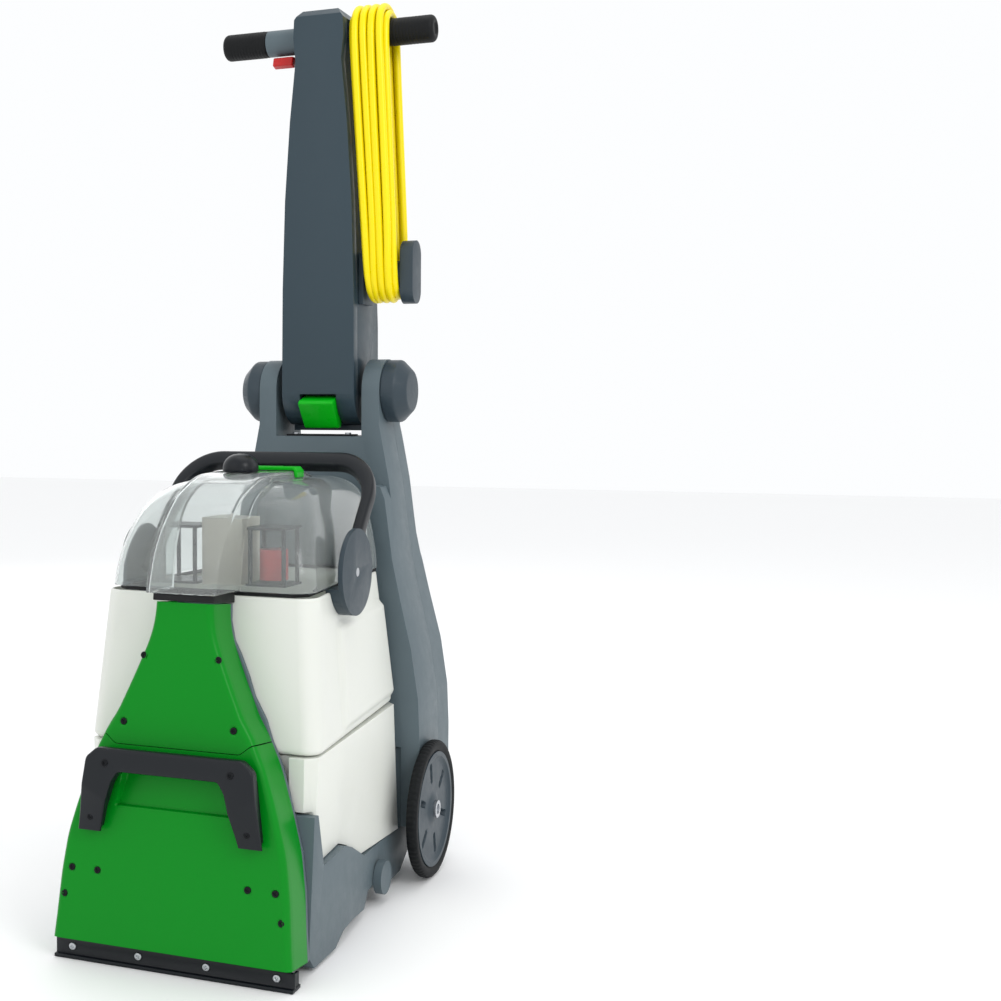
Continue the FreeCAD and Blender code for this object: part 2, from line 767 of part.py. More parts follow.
def fold_parts():
    """Bosses at both ends of the fold pin, the pin, the catch plate, the suction motor and its fan."""
    bosses = []
    centre = (S.fold_place, S.fold_height)
    for side in (1, -1):
        barrel = rod("X", (82.7 if side > 0 else -S.boss_side, *centre), S.boss_radius, S.boss_side - 82.7)
        radii = (S.boss_radius, 26) if side > 0 else (26, S.boss_radius)
        start = S.boss_side if side > 0 else -S.boss_tip
        bosses.append(fuse([barrel, cone("X", (start, *centre), *radii, S.boss_tip - S.boss_side)]))
    group("fold_bosses", bosses)
    group("fold_pin", [rod("X", (-82.4, S.fold_place, S.fold_height), S.fold_pin_radius - 0.01, 164.8)])
    group("catch_plate", [box((-45, 427, S.fork_floor + 0.1), (90, 24, 2.4))])
    group("vacuum_motor", [
        fuse([rod("Z", (0, S.motor_back, 188), 42, 62), rod("Z", (0, S.motor_back, 250), 30, 40)]),
    ])
    fan = [rod("Z", (0, S.motor_back, 296), 5.0, 22), tube("Z", (0, S.motor_back, 300), 42, 4.0, 2.5)]
    blades = []
    for index in range(8):
        blade = box((8, -1, 302), (32, 2, 12))
        turned = doc.addObject("Part::Compound", "blade")
        turned.Links = [blade]
        turned.Placement = Placement(Vector(), Rotation(Vector(0, 0, 1), 45.0 * index))
        put(turned, "Placement.Base.y", S.motor_back)
        blades.append(turned)
    group("vacuum_fan", [fuse(fan + blades)])


# ---- column and handlebar -------------------------------------------------------------------------------

COLUMN_SIDE = [
    (S.column_half, 560), (S.column_half, 668), (48.7, 745), (45.4, 860), (41.5, 923), (38.7, 960), (35, 998),
    (S.column_neck, 1036), (S.column_neck + 3, 1066), (S.column_neck + 2, 1088), (24, S.column_top),
]


def column_half(label, start, length):
    """One shell of the column, rounded about the fold pin at its foot."""
    made = body(label)
    pad(made, "XZ", mirrored(COLUMN_SIDE), start, length)
    low = [(400, 540), (530, 540), (530, S.fold_height), (517, S.fold_height), (S.fold_place, 565),
           (S.fold_place, 572), (422, S.fold_height), (400, S.fold_height)]
    pocket(made, "YZ", low, -60, 120, {3: 51, 5: 44})
    round_pocket(made, "YZ", [((S.fold_place, S.fold_height), S.fold_pin_radius + 0.05)], -60, 120)
    round_pocket(made, "YZ", [((S.bar_place, S.bar_height), S.bar_radius)], -60, 120)
    return made


def column_front_shell():
    """Front shell of the column with the release latch's notch."""
    made = column_half("column_front", S.column_front, S.column_seam - S.column_front - 0.2)
    pocket(made, "YZ", [(415, 1084), (424, 1094), (432, 1101), (415, 1101)], -60, 120)
    pocket(made, "XZ", [(-25, 560), (25, 560), (25, 612), (-25, 612)], 420, 20)


def column_rear_shell():
    """Rear shell of the column, tapered towards the handlebar."""
    made = column_half("column_rear", S.column_seam, S.column_back - S.column_seam)
    slope = [(S.column_back, 700), (490, 1090), (484, 1101), (530, 1101), (530, 700)]
    pocket(made, "YZ", slope, -60, 120)
    core = [(45, 668), (44, 745), (41, 860), (34, 960), (27, 1036)]
    pocket(made, "XZ", mirrored(core), S.column_seam - 1, 46)
    pocket(made, "XZ", [(-25, 560), (25, 560), (25, 612), (-25, 612)], 436, 17)
    round_pocket(made, "XY", [((0, 447), 5.2)], 611, 60)


def handle_parts():
    """Handlebar tube, collars, grips, trigger and pull rod."""
    centre = (S.bar_place, S.bar_height)
    group("handlebar", [rod("X", (-S.bar_half, *centre), S.bar_radius - 0.02, S.bar_half * 2)])
    grips = []
    for side in (1, -1):
        sleeve = tube("X", (82.2 if side > 0 else -S.bar_half, *centre), S.grip_radius, S.bar_radius,
                      S.bar_half - 82.2)
        radii = (S.grip_radius, S.grip_radius - 4) if side > 0 else (S.grip_radius - 4, S.grip_radius)
        start = S.bar_half if side > 0 else -S.bar_half - 4
        grips.append(fuse([sleeve, cone("X", (start, *centre), *radii, 4)]))
    group("grips", grips)
    group("collars", [
        tube("X", (start, *centre), S.grip_radius - 0.3, S.bar_radius, 46.0) for start in (35.6, -81.6)
    ])
    trigger = body("trigger")
    shape = [(446, 1049), (470, 1051), (474, 1044), (452, 1035), (443, 1038)]
    pad(trigger, "YZ", shape, -72, 28)
    rocker = body("power_switch")
    pad(rocker, "YZ", [(506, 880), (510.5, 880), (512.5, 890), (509.5, 904), (505, 904)], -9, 18)
    latch = body("release_latch")
    paddle = [(416, 604), (440, 611), (446, 600), (447.5, 569), (437, 568), (412, 600)]
    pad(latch, "YZ", paddle, -24, 48)
    wire = Part.makeHelix(2.4, 16, 3.5)
    section = Part.Wire(Part.makeCircle(0.5, Vector(3.5, 0, 0), Vector(0, 1, 0)))
    spring = Part.Wire(wire.Edges).makePipeShell([section], True, True)
    spring.translate(Vector(0, 447, 624))
    link = Part.makeCylinder(3, 380, Vector(0, 447, 641))
    free_shape("latch_linkage", Part.makeCompound([spring, link]))


def hook_parts():
    """Cord hook: a fixed arm with an end plate, low on the column's left-hand side."""
    made = body("cord_hook")
    centre = (S.bar_place, S.hook_height)
    root = [(440, 727), (478, 727), (478, 792), (440, 792)]
    pad(made, "YZ", root, S.column_half + 0.1, 6)
    round_pad(made, "YZ", [(centre, S.grip_radius)], S.column_half + 5, S.hook_inner - S.column_half - 4)
    plate = [(441, 745), (477, 745), (477, 789), (441, 789)]
    pad(made, "YZ", plate, S.hook_inner, S.hook_outer - S.hook_inner, {0: -18, 2: -18})


# ---- cord -----------------------------------------------------------------------------------------------

LEAD = [
    (22, 529, 738), (22, 529, 790), (24, 526, 838), (31, 519, 884), (41, 509, 928), (49, 501, 966),
]


def hank():
    """Cord wound over the handlebar and the hook, as one solid of its outer shape."""
    made = body("cord_hank")
    sketch = new_sketch(made, "YZ", 28)
    for reach in (S.hank_radius, S.grip_radius + 0.4):
        low, high = S.bar_place - reach, S.bar_place + reach
        loop = [(low, S.hook_height), (high, S.hook_height), (high, S.bar_height), (low, S.bar_height)]
        first = len(sketch.Geometry)
        draw_loop(sketch, first, loop, reach)
    feature(made, "Pad", sketch, 84, False)
    left = [(20, 720), (60.4, 720), (34.9, 1112), (20, 1112)]
    right = [(120, 720), (103.4, 720), (103.4, 728), (91, 1108), (91, 1112), (120, 1112)]
    pocket(made, "XZ", left, 400, 120)
    pocket(made, "XZ", right, 400, 120)


def draw_loop(sketch, first, points, radius):
    """Stadium outline: straight sides with half circles below and above."""
    corners = [plain(point) for point in points]
    below = Part.Arc(corners[0], arc_middle(corners[0], corners[1], -number(radius)), corners[1])
    above = Part.Arc(corners[2], arc_middle(corners[2], corners[3], -number(radius)), corners[3])
    sketch.addGeometry(below)
    sketch.addGeometry(Part.LineSegment(corners[1], corners[2]))
    sketch.addGeometry(above)
    sketch.addGeometry(Part.LineSegment(corners[3], corners[0]))
    for edge, centre in ((first, S.hook_height), (first + 2, S.bar_height)):
        pin_point(sketch, edge, 3, (S.bar_place, centre))
        row = sketch.addConstraint(Sketcher.Constraint("Radius", edge, number(radius)))
        sketch.setExpression(f"Constraints[{row}]", radius.text)
    for arc, line in ((first, first + 1), (first + 2, first + 3), (first, first + 3), (first + 2, first + 1)):
        for end in (1, 2):
            for far in (1, 2):
                if sketch.getPoint(arc, end).distanceToPoint(sketch.getPoint(line, far)) < 1e-6:
                    sketch.addConstraint(Sketcher.Constraint("Tangent", arc, end, line, far))


def cord_tube(label, points, radius):
    """Cord: straight runs joined by tangent arcs, each arc sized by its shorter run."""
    points = [Vector(*point) for point in points]
    edges = []
    start = points[0]
    for before, corner, after in zip(points, points[1:], points[2:]):
        back, ahead = before - corner, after - corner
        half = (math.pi - back.getAngle(ahead)) / 2
        reach = 0.45 * min(back.Length, ahead.Length)
        print(f"{label}: bend radius {reach / math.tan(half):.1f}")
        enter = corner + back.normalize() * reach
        leave = corner + ahead.normalize() * reach
        centre_way = (back + ahead).normalize()
        bend = reach / math.tan(half)
        centre = corner + centre_way * (bend / math.cos(half))
        middle = centre - centre_way * bend
        edges.append(Part.makeLine(start, enter))
        edges.append(Part.Arc(enter, middle, leave).toShape())
        start = leave
    edges.append(Part.makeLine(start, points[-1]))
    path = Part.Wire(edges)
    section = Part.Wire(Part.makeCircle(radius, points[0], points[1] - points[0]))
    solid = path.makePipeShell([section], True, False)
    print(f"{label}: length {path.Length:.0f}, volume ratio {solid.Volume / (math.pi * radius**2 * path.Length):.3f}")
    return solid


def cord_parts():
    """Strain relief, lead and plug."""
    hood = body("cord_strain_relief")
    pad(hood, "YZ", [(517.4, 694), (537, 700), (538, 716), (534, 722), (517.4, 726)], 12, 20)
    round_pad(hood, "XY", [((22, 529), 6.5)], 715, 22)
    free_shape("cord_lead", cord_tube("cord_lead", LEAD, number(S.cord_radius)))
    plug = body("power_plug")
    pad(plug, "YZ", [(497, 903), (510, 903), (516, 917), (514, 944), (497, 944)], 60, 24)
    group("plug_prongs", [box((x, 503, 944.1), (1.5, 6, 16.9)) for x in (65, 77.5)] + [
        rod("Z", (72, 508.5, 944.1), 2.4, 16.9)
    ])


# ---- tank, lid and bail ---------------------------------------------------------------------------------


def loft(owner, kind, sections):
    """Ruled loft through four-cornered plans: (height, front, rear, front half, rear half, corner)."""
    sketches = []
    for height, front, rear, front_half, rear_half, corner in sections:
        sketch = new_sketch(owner, "XY", height)
        right = [
            (front_half - corner, front), (front_half, front + corner), (rear_half, rear - corner),
            (rear_half - corner, rear),
        ]
        draw(sketch, mirrored(right))
        sketch.Visibility = False
        sketches.append(sketch)
    made = owner.newObject(f"PartDesign::{kind}", kind.lower())
    made.Profile = sketches[0]
    made.Sections = sketches[1:]
    made.Ruled = True
    return made


def front_recess(owner, low, length):
    """Room for the leaning front group at the tank's front."""
    pocket(owner, "XY", [(-106, 40), (106, 40), (106, 74.5), (-106, 74.5)], low, length)
    pocket(owner, "XY", [(-70.5, 40), (70.5, 40), (70.5, 88), (-70.5, 88)], low, length)


def tank_lower():
    """Clean-water tank: it rests on the deck of the base."""
    made = body("tank_lower")
    top = S.tank_seam - 1
    loft(made, "AdditiveLoft", [
        (64, 66, S.tank_rear, 129, S.base_half_rear + 2, 8), (top, 66, S.tank_rear, 136, 118, 12),
    ])
    under = [
        (50, 50), (410, 50), (410, 65), (400, S.deck_rear + 1.5), (240, S.deck_rear + 11.5),
        (184, S.deck_front - 5.5), (157, S.deck_front + 3.5), (114, S.deck_front + 1.5), (89.5, S.deck_front + 1.5),
        (73.5, S.base_top + 2.5), (50, S.base_top + 2.5),
    ]
    pocket(made, "YZ", under, -150, 300)
    front_recess(made, 50, 200)
    pocket(made, "XY", [(-112, 96), (112, 96), (105, 388), (-105, 388)], 116, 120)
    pocket(made, "XY", [(-112, 252), (112, 252), (105, 388), (-105, 388)], 82, 40)
    round_pocket(made, "XY", [((70, 330), 5.0)], 60, 40)


def tank_upper():
    """Recovery tank."""
    made = body("tank_upper")
    low, rim = S.tank_seam + 1, S.tank_rim
    loft(made, "AdditiveLoft", [
        (low, 62, S.tank_rear + 3, S.tank_half_front, S.tank_half_rear, 14),
        (rim, S.tank_front_top, S.tank_rear - 3, S.rim_half_front, S.rim_half_rear, 14),
    ])
    front_recess(made, 200, 200)
    loft(made, "SubtractiveLoft", [
        (low + 4, 92, S.tank_rear - 4, S.tank_half_front - 5, S.tank_half_rear - 6, 12),
        (rim + 1, 92, S.tank_rear - 8, S.rim_half_front - 5, S.rim_half_rear - 6, 12),
    ])


def tank_valve():
    """Sprung plunger in the clean tank's outlet."""
    group("tank_valve", [
        fuse([rod("Z", (70, 330, 70.4), 4.1, 14.2), rod("Z", (70, 330, 84.5), 9, 3)]),
    ])


def gasket():
    """Rubber ring between the tank and the lid."""
    made = body("lid_gasket")
    low = S.tank_rim + 0.3
    section = (low, 89, 391, S.rim_half_front - 1, S.rim_half_rear - 1, 14)
    loft(made, "AdditiveLoft", [section, (low + 3.6, *section[1:])])
    inner = (low - 1, 93.5, 386, S.rim_half_front - 6, S.rim_half_rear - 7, 12)
    loft(made, "SubtractiveLoft", [inner, (low + 6, *inner[1:])])


DOME = [
    (S.lid_low, 85.5, 392, 116, 97, 16), (440, 92, 388, 112, 94, 22), (480, 112, 380, 104, 88, 28),
    (500, 140, 368, 92, 80, 28), (S.lid_top, 180, 340, 70, 62, 24),
]


def lid():
    """Clear lid: a dome with a raised duct band along its middle."""
    made = body("lid")
    loft(made, "AdditiveLoft", DOME)
    band = [
        (22, 399.2), (30, 430), (42, 452), (58, 470), (75, 487), (95, 500), (115, 508), (148, 518), (185, 521),
        (250, 521), (300, 512), (330, 505), (330, 440), (86, 440), (86, 399.2),
    ]
    pad(made, "YZ", band, -S.band_half, S.band_half * 2)
    inner = [(height - 3.0, front + 3, rear - 3, half - 3, back - 3, corner)
             for height, front, rear, half, back, corner in DOME]
    loft(made, "SubtractiveLoft", inner)
    duct = [
        (25.5, 398), (33, 428), (45, 450), (60, 467), (77, 484), (97, 497), (117, 505), (149, 515), (185, 518),
        (250, 518), (299, 509), (310, 500), (310, 398),
    ]
    pocket(made, "YZ", duct, -S.band_half + 3, S.band_half * 2 - 6)
    round_pad(made, "XY", [((0, 180), 17)], 515, 14)
    round_pocket(made, "XY", [((0, 180), 14)], 500, 40)


def lid_parts():
    """Cap of the hose port, lid latch, float with its cages and the baffle box."""
    cap = body("port_cap")
    section = [(0, 0), (21, 0), (21, 18), (18, 21.5), (0, 21.5)]
    sketch = new_sketch(cap, "XZ", 180, 521.4)
    draw(sketch, section)
    turned = cap.newObject("PartDesign::Revolution", "revolution")
    turned.Profile = sketch
    turned.ReferenceAxis = (sketch, ["V_Axis"])
    turned.Angle = 360
    round_pocket(cap, "XY", [((0, 180), 17.4)], 520, 9.4)
    latch = body("lid_latch")
    strap = [(46, 513), (46, 521), (42, 526), (-42, 526), (-46, 521), (-46, 513), (-42.4, 513), (-41.4, 521.6),
             (41.4, 521.6), (42.4, 513)]
    pad(latch, "XZ", strap, 238, 22)
    group("float", [rod("Z", (54, 150, 404), 16, 34)])
    rods = [(x, y) for x in (34, 74) for y in (130, 170)]
    cages = []
    for side in (1, -1):
        bars = [rod("Z", (x * side, y, 400), 2.5, 62) for x, y in rods]
        low = 30 if side > 0 else -78
        bars.append(box((low, 126, 460), (48, 48, 3)))
        bars.append(box((low, 126, 398), (48, 48, 2.5)))
        cages.append(fuse(bars))
    group("float_cages", cages)
    group("baffle_box", [
        cut(box((-24, 128, 398), (48, 52, 74)), box((-21, 131, 397), (42, 46, 72))),
    ])


def bail_parts():
    """Tank bail with its pivot covers and pins."""
    made = body("bail")
    made.Placement = Placement(Vector(), Rotation(Vector(-1, 0, 0), SIZES["bail_lean"]))
    put(made, "Placement.Rotation.Angle", S.bail_lean)
    put(made, "Placement.Base.y", S.bail_place - S.centre_shift)
    put(made, "Placement.Base.z", S.bail_pivot_height)
    right = [
        (118, -12), (131.2, -12), (131.2, 105), (76, S.bail_reach), (-76, S.bail_reach), (-131.2, 105),
        (-131.2, -12), (-118, -12), (-118, 105), (-76, S.bail_reach - 22), (76, S.bail_reach - 22), (118, 105),
    ]
    pad(made, "XZ", right, -9, 18, {2: -62, 4: -62, 8: 45, 10: 45})
    round_pocket(made, "YZ", [((0, 0), 5.05)], -140, 280)
    pivot = (S.bail_place, S.bail_pivot_height)
    cover = body("bail_cover")
    radius, chord, depth = 49, 46.5, 15.4
    round_pad(cover, "YZ", [(pivot, radius)], 131.6, 5.6)
    ends = [(S.bail_place - chord, S.bail_pivot_height - depth), (S.bail_place + chord, S.bail_pivot_height - depth)]
    pad(cover, "YZ", ends, 116, 16, {1: radius})
    round_pocket(cover, "YZ", [(pivot, 5.0)], 130, 10)
    other = doc.addObject("Part::Mirroring", "mirror")
    other.Source = cover
    other.Normal = Vector(1, 0, 0)
    del NODES["bail_cover"]
    put(cover, "Placement.Base.y", 0.0)
    group("bail_covers", [cover, other])
    pins = []
    for side in (1, -1):
        start = 117.2 if side > 0 else -137.4
        pins.append(rod("X", (start, *pivot), 4.99, 20.2))
    group("bail_pins", pins)


base_tray()
bottom_cover()
base_screws()
brush_roll()
brush_bristles()
drive()
deck_parts()
axle_parts()
lower_cover()
upper_cover()
duct_back()
duct_seal()
nozzle_lip()
front_fasteners()
front_handle()
frame_front_shell()
frame_back_shell()
fold_parts()
column_front_shell()
column_rear_shell()
handle_parts()
hook_parts()
hank()
cord_parts()
tank_lower()
tank_upper()
tank_valve()
gasket()
lid()
lid_parts()
bail_parts()

doc.recompute()
broken = [thing for thing in doc.Objects if "Invalid" in thing.State or "Error" in thing.State]
for thing in broken:
    owner = thing.getParentGeoFeatureGroup()
    print(f"BROKEN {thing.Label} in {owner.Label if owner else '-'}: {thing.getStatusString()}")
if broken:
    raise RuntimeError(f"{len(broken)} broken objects")
whole = None
for label, thing in NODES.items():
    shape = thing.Shape
    if shape.isNull() or not shape.isValid() or not shape.Solids:
        raise RuntimeError(f"{label}: no valid solid")
    shape.exportStep(f"parts/{label}.step")
    limits = shape.BoundBox
    whole = limits if whole is None else whole.united(limits)
    print(f"{label}: {len(shape.Solids)} solids, {shape.Volume:.0f} mm3")
print(f"{len(NODES)} sub-parts, box {whole}")
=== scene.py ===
"""Carpet cleaner machine: cords, moulded shells, tanks, clear lid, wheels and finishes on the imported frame.

All shapes are given in the machine's own grid in millimetres: X from the middle plane, Y back from the nozzle
lip's face, Z up from the floor. MachineGrid turns them into the frame's metres.
"""
from __future__ import annotations

import logging
import math
from dataclasses import dataclass
from enum import Enum
from typing import Iterable, Sequence

import bmesh
import bpy
import numpy as np
from mathutils import Euler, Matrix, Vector


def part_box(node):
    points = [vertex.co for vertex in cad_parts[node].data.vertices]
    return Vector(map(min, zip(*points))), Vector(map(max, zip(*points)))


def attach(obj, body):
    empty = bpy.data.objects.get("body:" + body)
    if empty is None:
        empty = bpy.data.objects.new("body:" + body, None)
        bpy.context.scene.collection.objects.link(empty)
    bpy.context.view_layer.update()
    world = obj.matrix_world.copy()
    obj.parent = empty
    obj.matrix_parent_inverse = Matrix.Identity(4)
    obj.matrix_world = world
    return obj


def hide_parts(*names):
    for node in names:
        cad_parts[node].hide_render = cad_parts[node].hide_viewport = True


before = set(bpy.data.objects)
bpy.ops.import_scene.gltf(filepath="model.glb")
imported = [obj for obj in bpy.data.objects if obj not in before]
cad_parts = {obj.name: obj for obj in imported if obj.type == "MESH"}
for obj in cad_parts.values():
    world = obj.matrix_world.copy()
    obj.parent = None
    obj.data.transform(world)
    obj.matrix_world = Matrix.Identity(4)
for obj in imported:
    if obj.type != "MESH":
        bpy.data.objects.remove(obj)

LOG = logging.getLogger("carpet_cleaner")
Points = np.ndarray
Node = bpy.types.Node
Material = bpy.types.Material
Piece = bpy.types.Object


# ---- grid and mesh tools --------------------------------------------------------------------------------


@dataclass(frozen=True)
class MachineGrid:
    """The machine's own grid in millimetres, and how it lies in the frame."""

    bar_place: float = 459.0
    lean: float = math.radians(6.36)
    nozzle_foot: float = -13.45

    @property
    def shift(self) -> float:
        """How far back the grid's Y = 0 lies from the frame's, worked out from the handlebar."""
        low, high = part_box("handlebar")
        return self.bar_place - (low[1] + high[1]) * 500.0

    def metres(self, points: Points) -> Points:
        """Turn grid millimetres into frame metres.

        Args:
            points: Array of shape (..., 3) in millimetres.

        Returns:
            Array of the same shape in metres.
        """
        return (np.asarray(points, float) - np.array([0.0, self.shift, 0.0])) / 1000.0

    def leaned(self, points: Points) -> Points:
        """Lean points of the front group back.

        Args:
            points: Array (..., 3) of x, depth and height in the upright front group, in millimetres.

        Returns:
            Array (..., 3) in grid millimetres.
        """
        points = np.asarray(points, float)
        x, depth, height = points[..., 0], points[..., 1], points[..., 2]
        place = self.nozzle_foot + height * math.sin(self.lean) + depth * math.cos(self.lean)
        rise = height * math.cos(self.lean) - depth * math.sin(self.lean)
        return np.stack([x, place, rise], axis=-1)


GRID = MachineGrid()


def build_piece(name: str, vertices: Points, faces: Iterable[Sequence[int]], smooth: bool = True) -> Piece:
    """Make a mesh object from frame coordinates in metres.

    Args:
        name: The piece's name.
        vertices: Array (n, 3) in metres.
        faces: Vertex numbers of each face.
        smooth: True to shade it smooth.

    Returns:
        The new object.
    """
    mesh = bpy.data.meshes.new(name)
    mesh.from_pydata(np.asarray(vertices, float).tolist(), [], [list(map(int, face)) for face in faces])
    mesh.update()
    tidy = bmesh.new()
    tidy.from_mesh(mesh)
    bmesh.ops.remove_doubles(tidy, verts=tidy.verts, dist=1e-6)
    bmesh.ops.recalc_face_normals(tidy, faces=tidy.faces)
    tidy.to_mesh(mesh)
    tidy.free()
    mesh.polygons.foreach_set("use_smooth", [smooth] * len(mesh.polygons))
    piece = bpy.data.objects.new(name, mesh)
    bpy.context.scene.collection.objects.link(piece)
    return piece


def grid_faces(rows: int, columns: int, wrap_rows: bool, wrap_columns: bool, start: int = 0) -> Points:
    """Quads of a grid of vertices that is laid out row after row.

    Args:
        rows: Number of rows.
        columns: Number of columns.
        wrap_rows: True if the last row joins the first.
        wrap_columns: True if the last column joins the first.
        start: Number of the grid's first vertex.

    Returns:
        Array (faces, 4) of vertex numbers.
    """
    r = np.arange(rows if wrap_rows else rows - 1)
    c = np.arange(columns if wrap_columns else columns - 1)
    i, j = np.meshgrid(r, c, indexing="ij")
    i2, j2 = (i + 1) % rows, (j + 1) % columns
    quads = np.stack([i * columns + j, i * columns + j2, i2 * columns + j2, i2 * columns + j], axis=-1)
    return quads.reshape(-1, 4) + start


@dataclass
class Patchwork:
    """Vertices and faces of one piece, gathered surface by surface."""

    name: str

    def __post_init__(self) -> None:
        """Start with nothing."""
        self.vertices: list[Points] = []
        self.faces: list[list[int]] = []
        self.count = 0

    def add_grid(self, points: Points, wrap_rows: bool = False, wrap_columns: bool = True,
                 caps: bool = True) -> "Patchwork":
        """Add a surface given as a grid of points (rows, columns, 3) in grid millimetres.

        Args:
            points: The grid; each row is a ring if wrap_columns is true.
            wrap_rows: True if the last row joins the first.
            wrap_columns: True if each row is closed.
            caps: True to close the first and the last ring with one face each.

        Returns:
            This patchwork.
        """
        rows, columns = points.shape[:2]
        self.faces += grid_faces(rows, columns, wrap_rows, wrap_columns, self.count).tolist()
        if caps and wrap_columns and not wrap_rows:
            first = list(range(self.count, self.count + columns))
            last = list(range(self.count + (rows - 1) * columns, self.count + rows * columns))
            self.faces += [first[::-1], last]
        self.vertices.append(points.reshape(-1, 3))
        self.count += rows * columns
        return self

    def piece(self, smooth: bool = True) -> Piece:
        """Make the object."""
        return build_piece(self.name, GRID.metres(np.concatenate(self.vertices)), self.faces, smooth)


def rounded_loop(corners: Sequence[tuple[float, float]], radii: Sequence[float], steps: int) -> Points:
    """Closed outline with rounded corners.

    Each corner is an arc of its radius between its two sides, sampled at even angles.

    Args:
        corners: The corners, anticlockwise.
        radii: A radius for each corner.
        steps: Points of each corner's arc.

    Returns:
        Array (corners * steps, 2).
    """
    here = np.asarray(corners, float)
    back = np.roll(here, 1, axis=0) - here
    ahead = np.roll(here, -1, axis=0) - here
    back /= np.linalg.norm(back, axis=1, keepdims=True)
    ahead /= np.linalg.norm(ahead, axis=1, keepdims=True)
    half = np.arccos(np.clip((back * ahead).sum(axis=1), -1, 1)) / 2
    radius = np.asarray(radii, float)
    middle = back + ahead
    middle /= np.linalg.norm(middle, axis=1, keepdims=True)
    centre = here + middle * (radius / np.sin(half))[:, None]
    start = here + back * (radius / np.tan(half))[:, None] - centre
    turn = (math.pi - 2 * half)[:, None] * np.linspace(0, 1, steps)[None, :]
    sense = np.sign(back[:, 0] * ahead[:, 1] - back[:, 1] * ahead[:, 0])[:, None] * -1.0
    turn = turn * sense
    x = start[:, :1] * np.cos(turn) - start[:, 1:] * np.sin(turn)
    y = start[:, :1] * np.sin(turn) + start[:, 1:] * np.cos(turn)
    return (np.stack([x, y], axis=-1) + centre[:, None, :]).reshape(-1, 2)


def turned(profile: Points, place: float, height: float, steps: int = 96) -> Points:
    """Turn a section about a line along X.

    Args:
        profile: Array (n, 2) of x and radius.
        place: Y of the line.
        height: Z of the line.
        steps: Points round the turn.

    Returns:
        Array (steps, n, 3); join it with both ways wrapped.
    """
    angle = np.linspace(0, 2 * math.pi, steps, endpoint=False)[:, None]
    x = np.broadcast_to(profile[None, :, 0], (steps, len(profile)))
    radius = profile[None, :, 1]
    return np.stack([x, place + radius * np.cos(angle), height + radius * np.sin(angle)], axis=-1)


def softened(node: str, width: float, segments: int = 3, angle: float = 28.0) -> Piece:
    """Copy of a CAD node with merged vertices and real rounded edges.

    Args:
        node: Name of the CAD node, which the copy replaces.
        width: Width of the rounding in millimetres.
        segments: Segments of the rounding.
        angle: Edges sharper than this many degrees are rounded.

    Returns:
        The new piece.
    """
    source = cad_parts[node]
    work = bmesh.new()
    work.from_mesh(source.data)
    bmesh.ops.remove_doubles(work, verts=work.verts, dist=2e-6)
    bmesh.ops.dissolve_limit(work, angle_limit=math.radians(1.0), verts=work.verts, edges=work.edges)
    mesh = bpy.data.meshes.new(node + "_soft")
    work.to_mesh(mesh)
    work.free()
    mesh.polygons.foreach_set("use_smooth", [True] * len(mesh.polygons))
    piece = bpy.data.objects.new(node + "_soft", mesh)
    bpy.context.scene.collection.objects.link(piece)
    bevel = piece.modifiers.new("edges", "BEVEL")
    bevel.width = width / 1000.0
    bevel.segments = segments
    bevel.limit_method = "ANGLE"
    bevel.angle_limit = math.radians(angle)
    bevel.harden_normals = True
    bevel.miter_outer = "MITER_ARC"
    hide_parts(node)
    return piece


def dress(piece: Piece, material: Material) -> Piece:
    """Give a piece one material."""
    piece.data.materials.clear()
    piece.data.materials.append(material)
    return piece


# ---- finishes -------------------------------------------------------------------------------------------


def linear(colour: str) -> tuple[float, float, float, float]:
    """Turn an sRGB hex value into linear light.

    Args:
        colour: Six hex digits.

    Returns:
        Red, green, blue and alpha.
    """
    parts = [int(colour[i:i + 2], 16) / 255.0 for i in (0, 2, 4)]
    red, green, blue = [c / 12.92 if c <= 0.04045 else ((c + 0.055) / 1.055) ** 2.4 for c in parts]
    return red, green, blue, 1.0


def add_node(tree: bpy.types.NodeTree, kind: str, settings: dict | None = None,
             links: dict | None = None) -> Node:
    """Add a node with its settings and its links.

    Args:
        tree: The material's tree.
        kind: The node's type without its ShaderNode prefix.
        settings: Properties and input values, by name.
        links: Output sockets to join, by input name.

    Returns:
        The node.
    """
    node = tree.nodes.new("ShaderNode" + kind)
    for name, value in (settings or {}).items():
        if hasattr(node, name):
            setattr(node, name, value)
        else:
            node.inputs[name].default_value = value
    for name, socket in (links or {}).items():
        tree.links.new(socket, node.inputs[name])
    return node


def start_material(name: str) -> tuple[Material, bpy.types.NodeTree]:
    """Empty material with its tree."""
    material = bpy.data.materials.new(name)
    material.use_nodes = True
    material.node_tree.nodes.clear()
    return material, material.node_tree


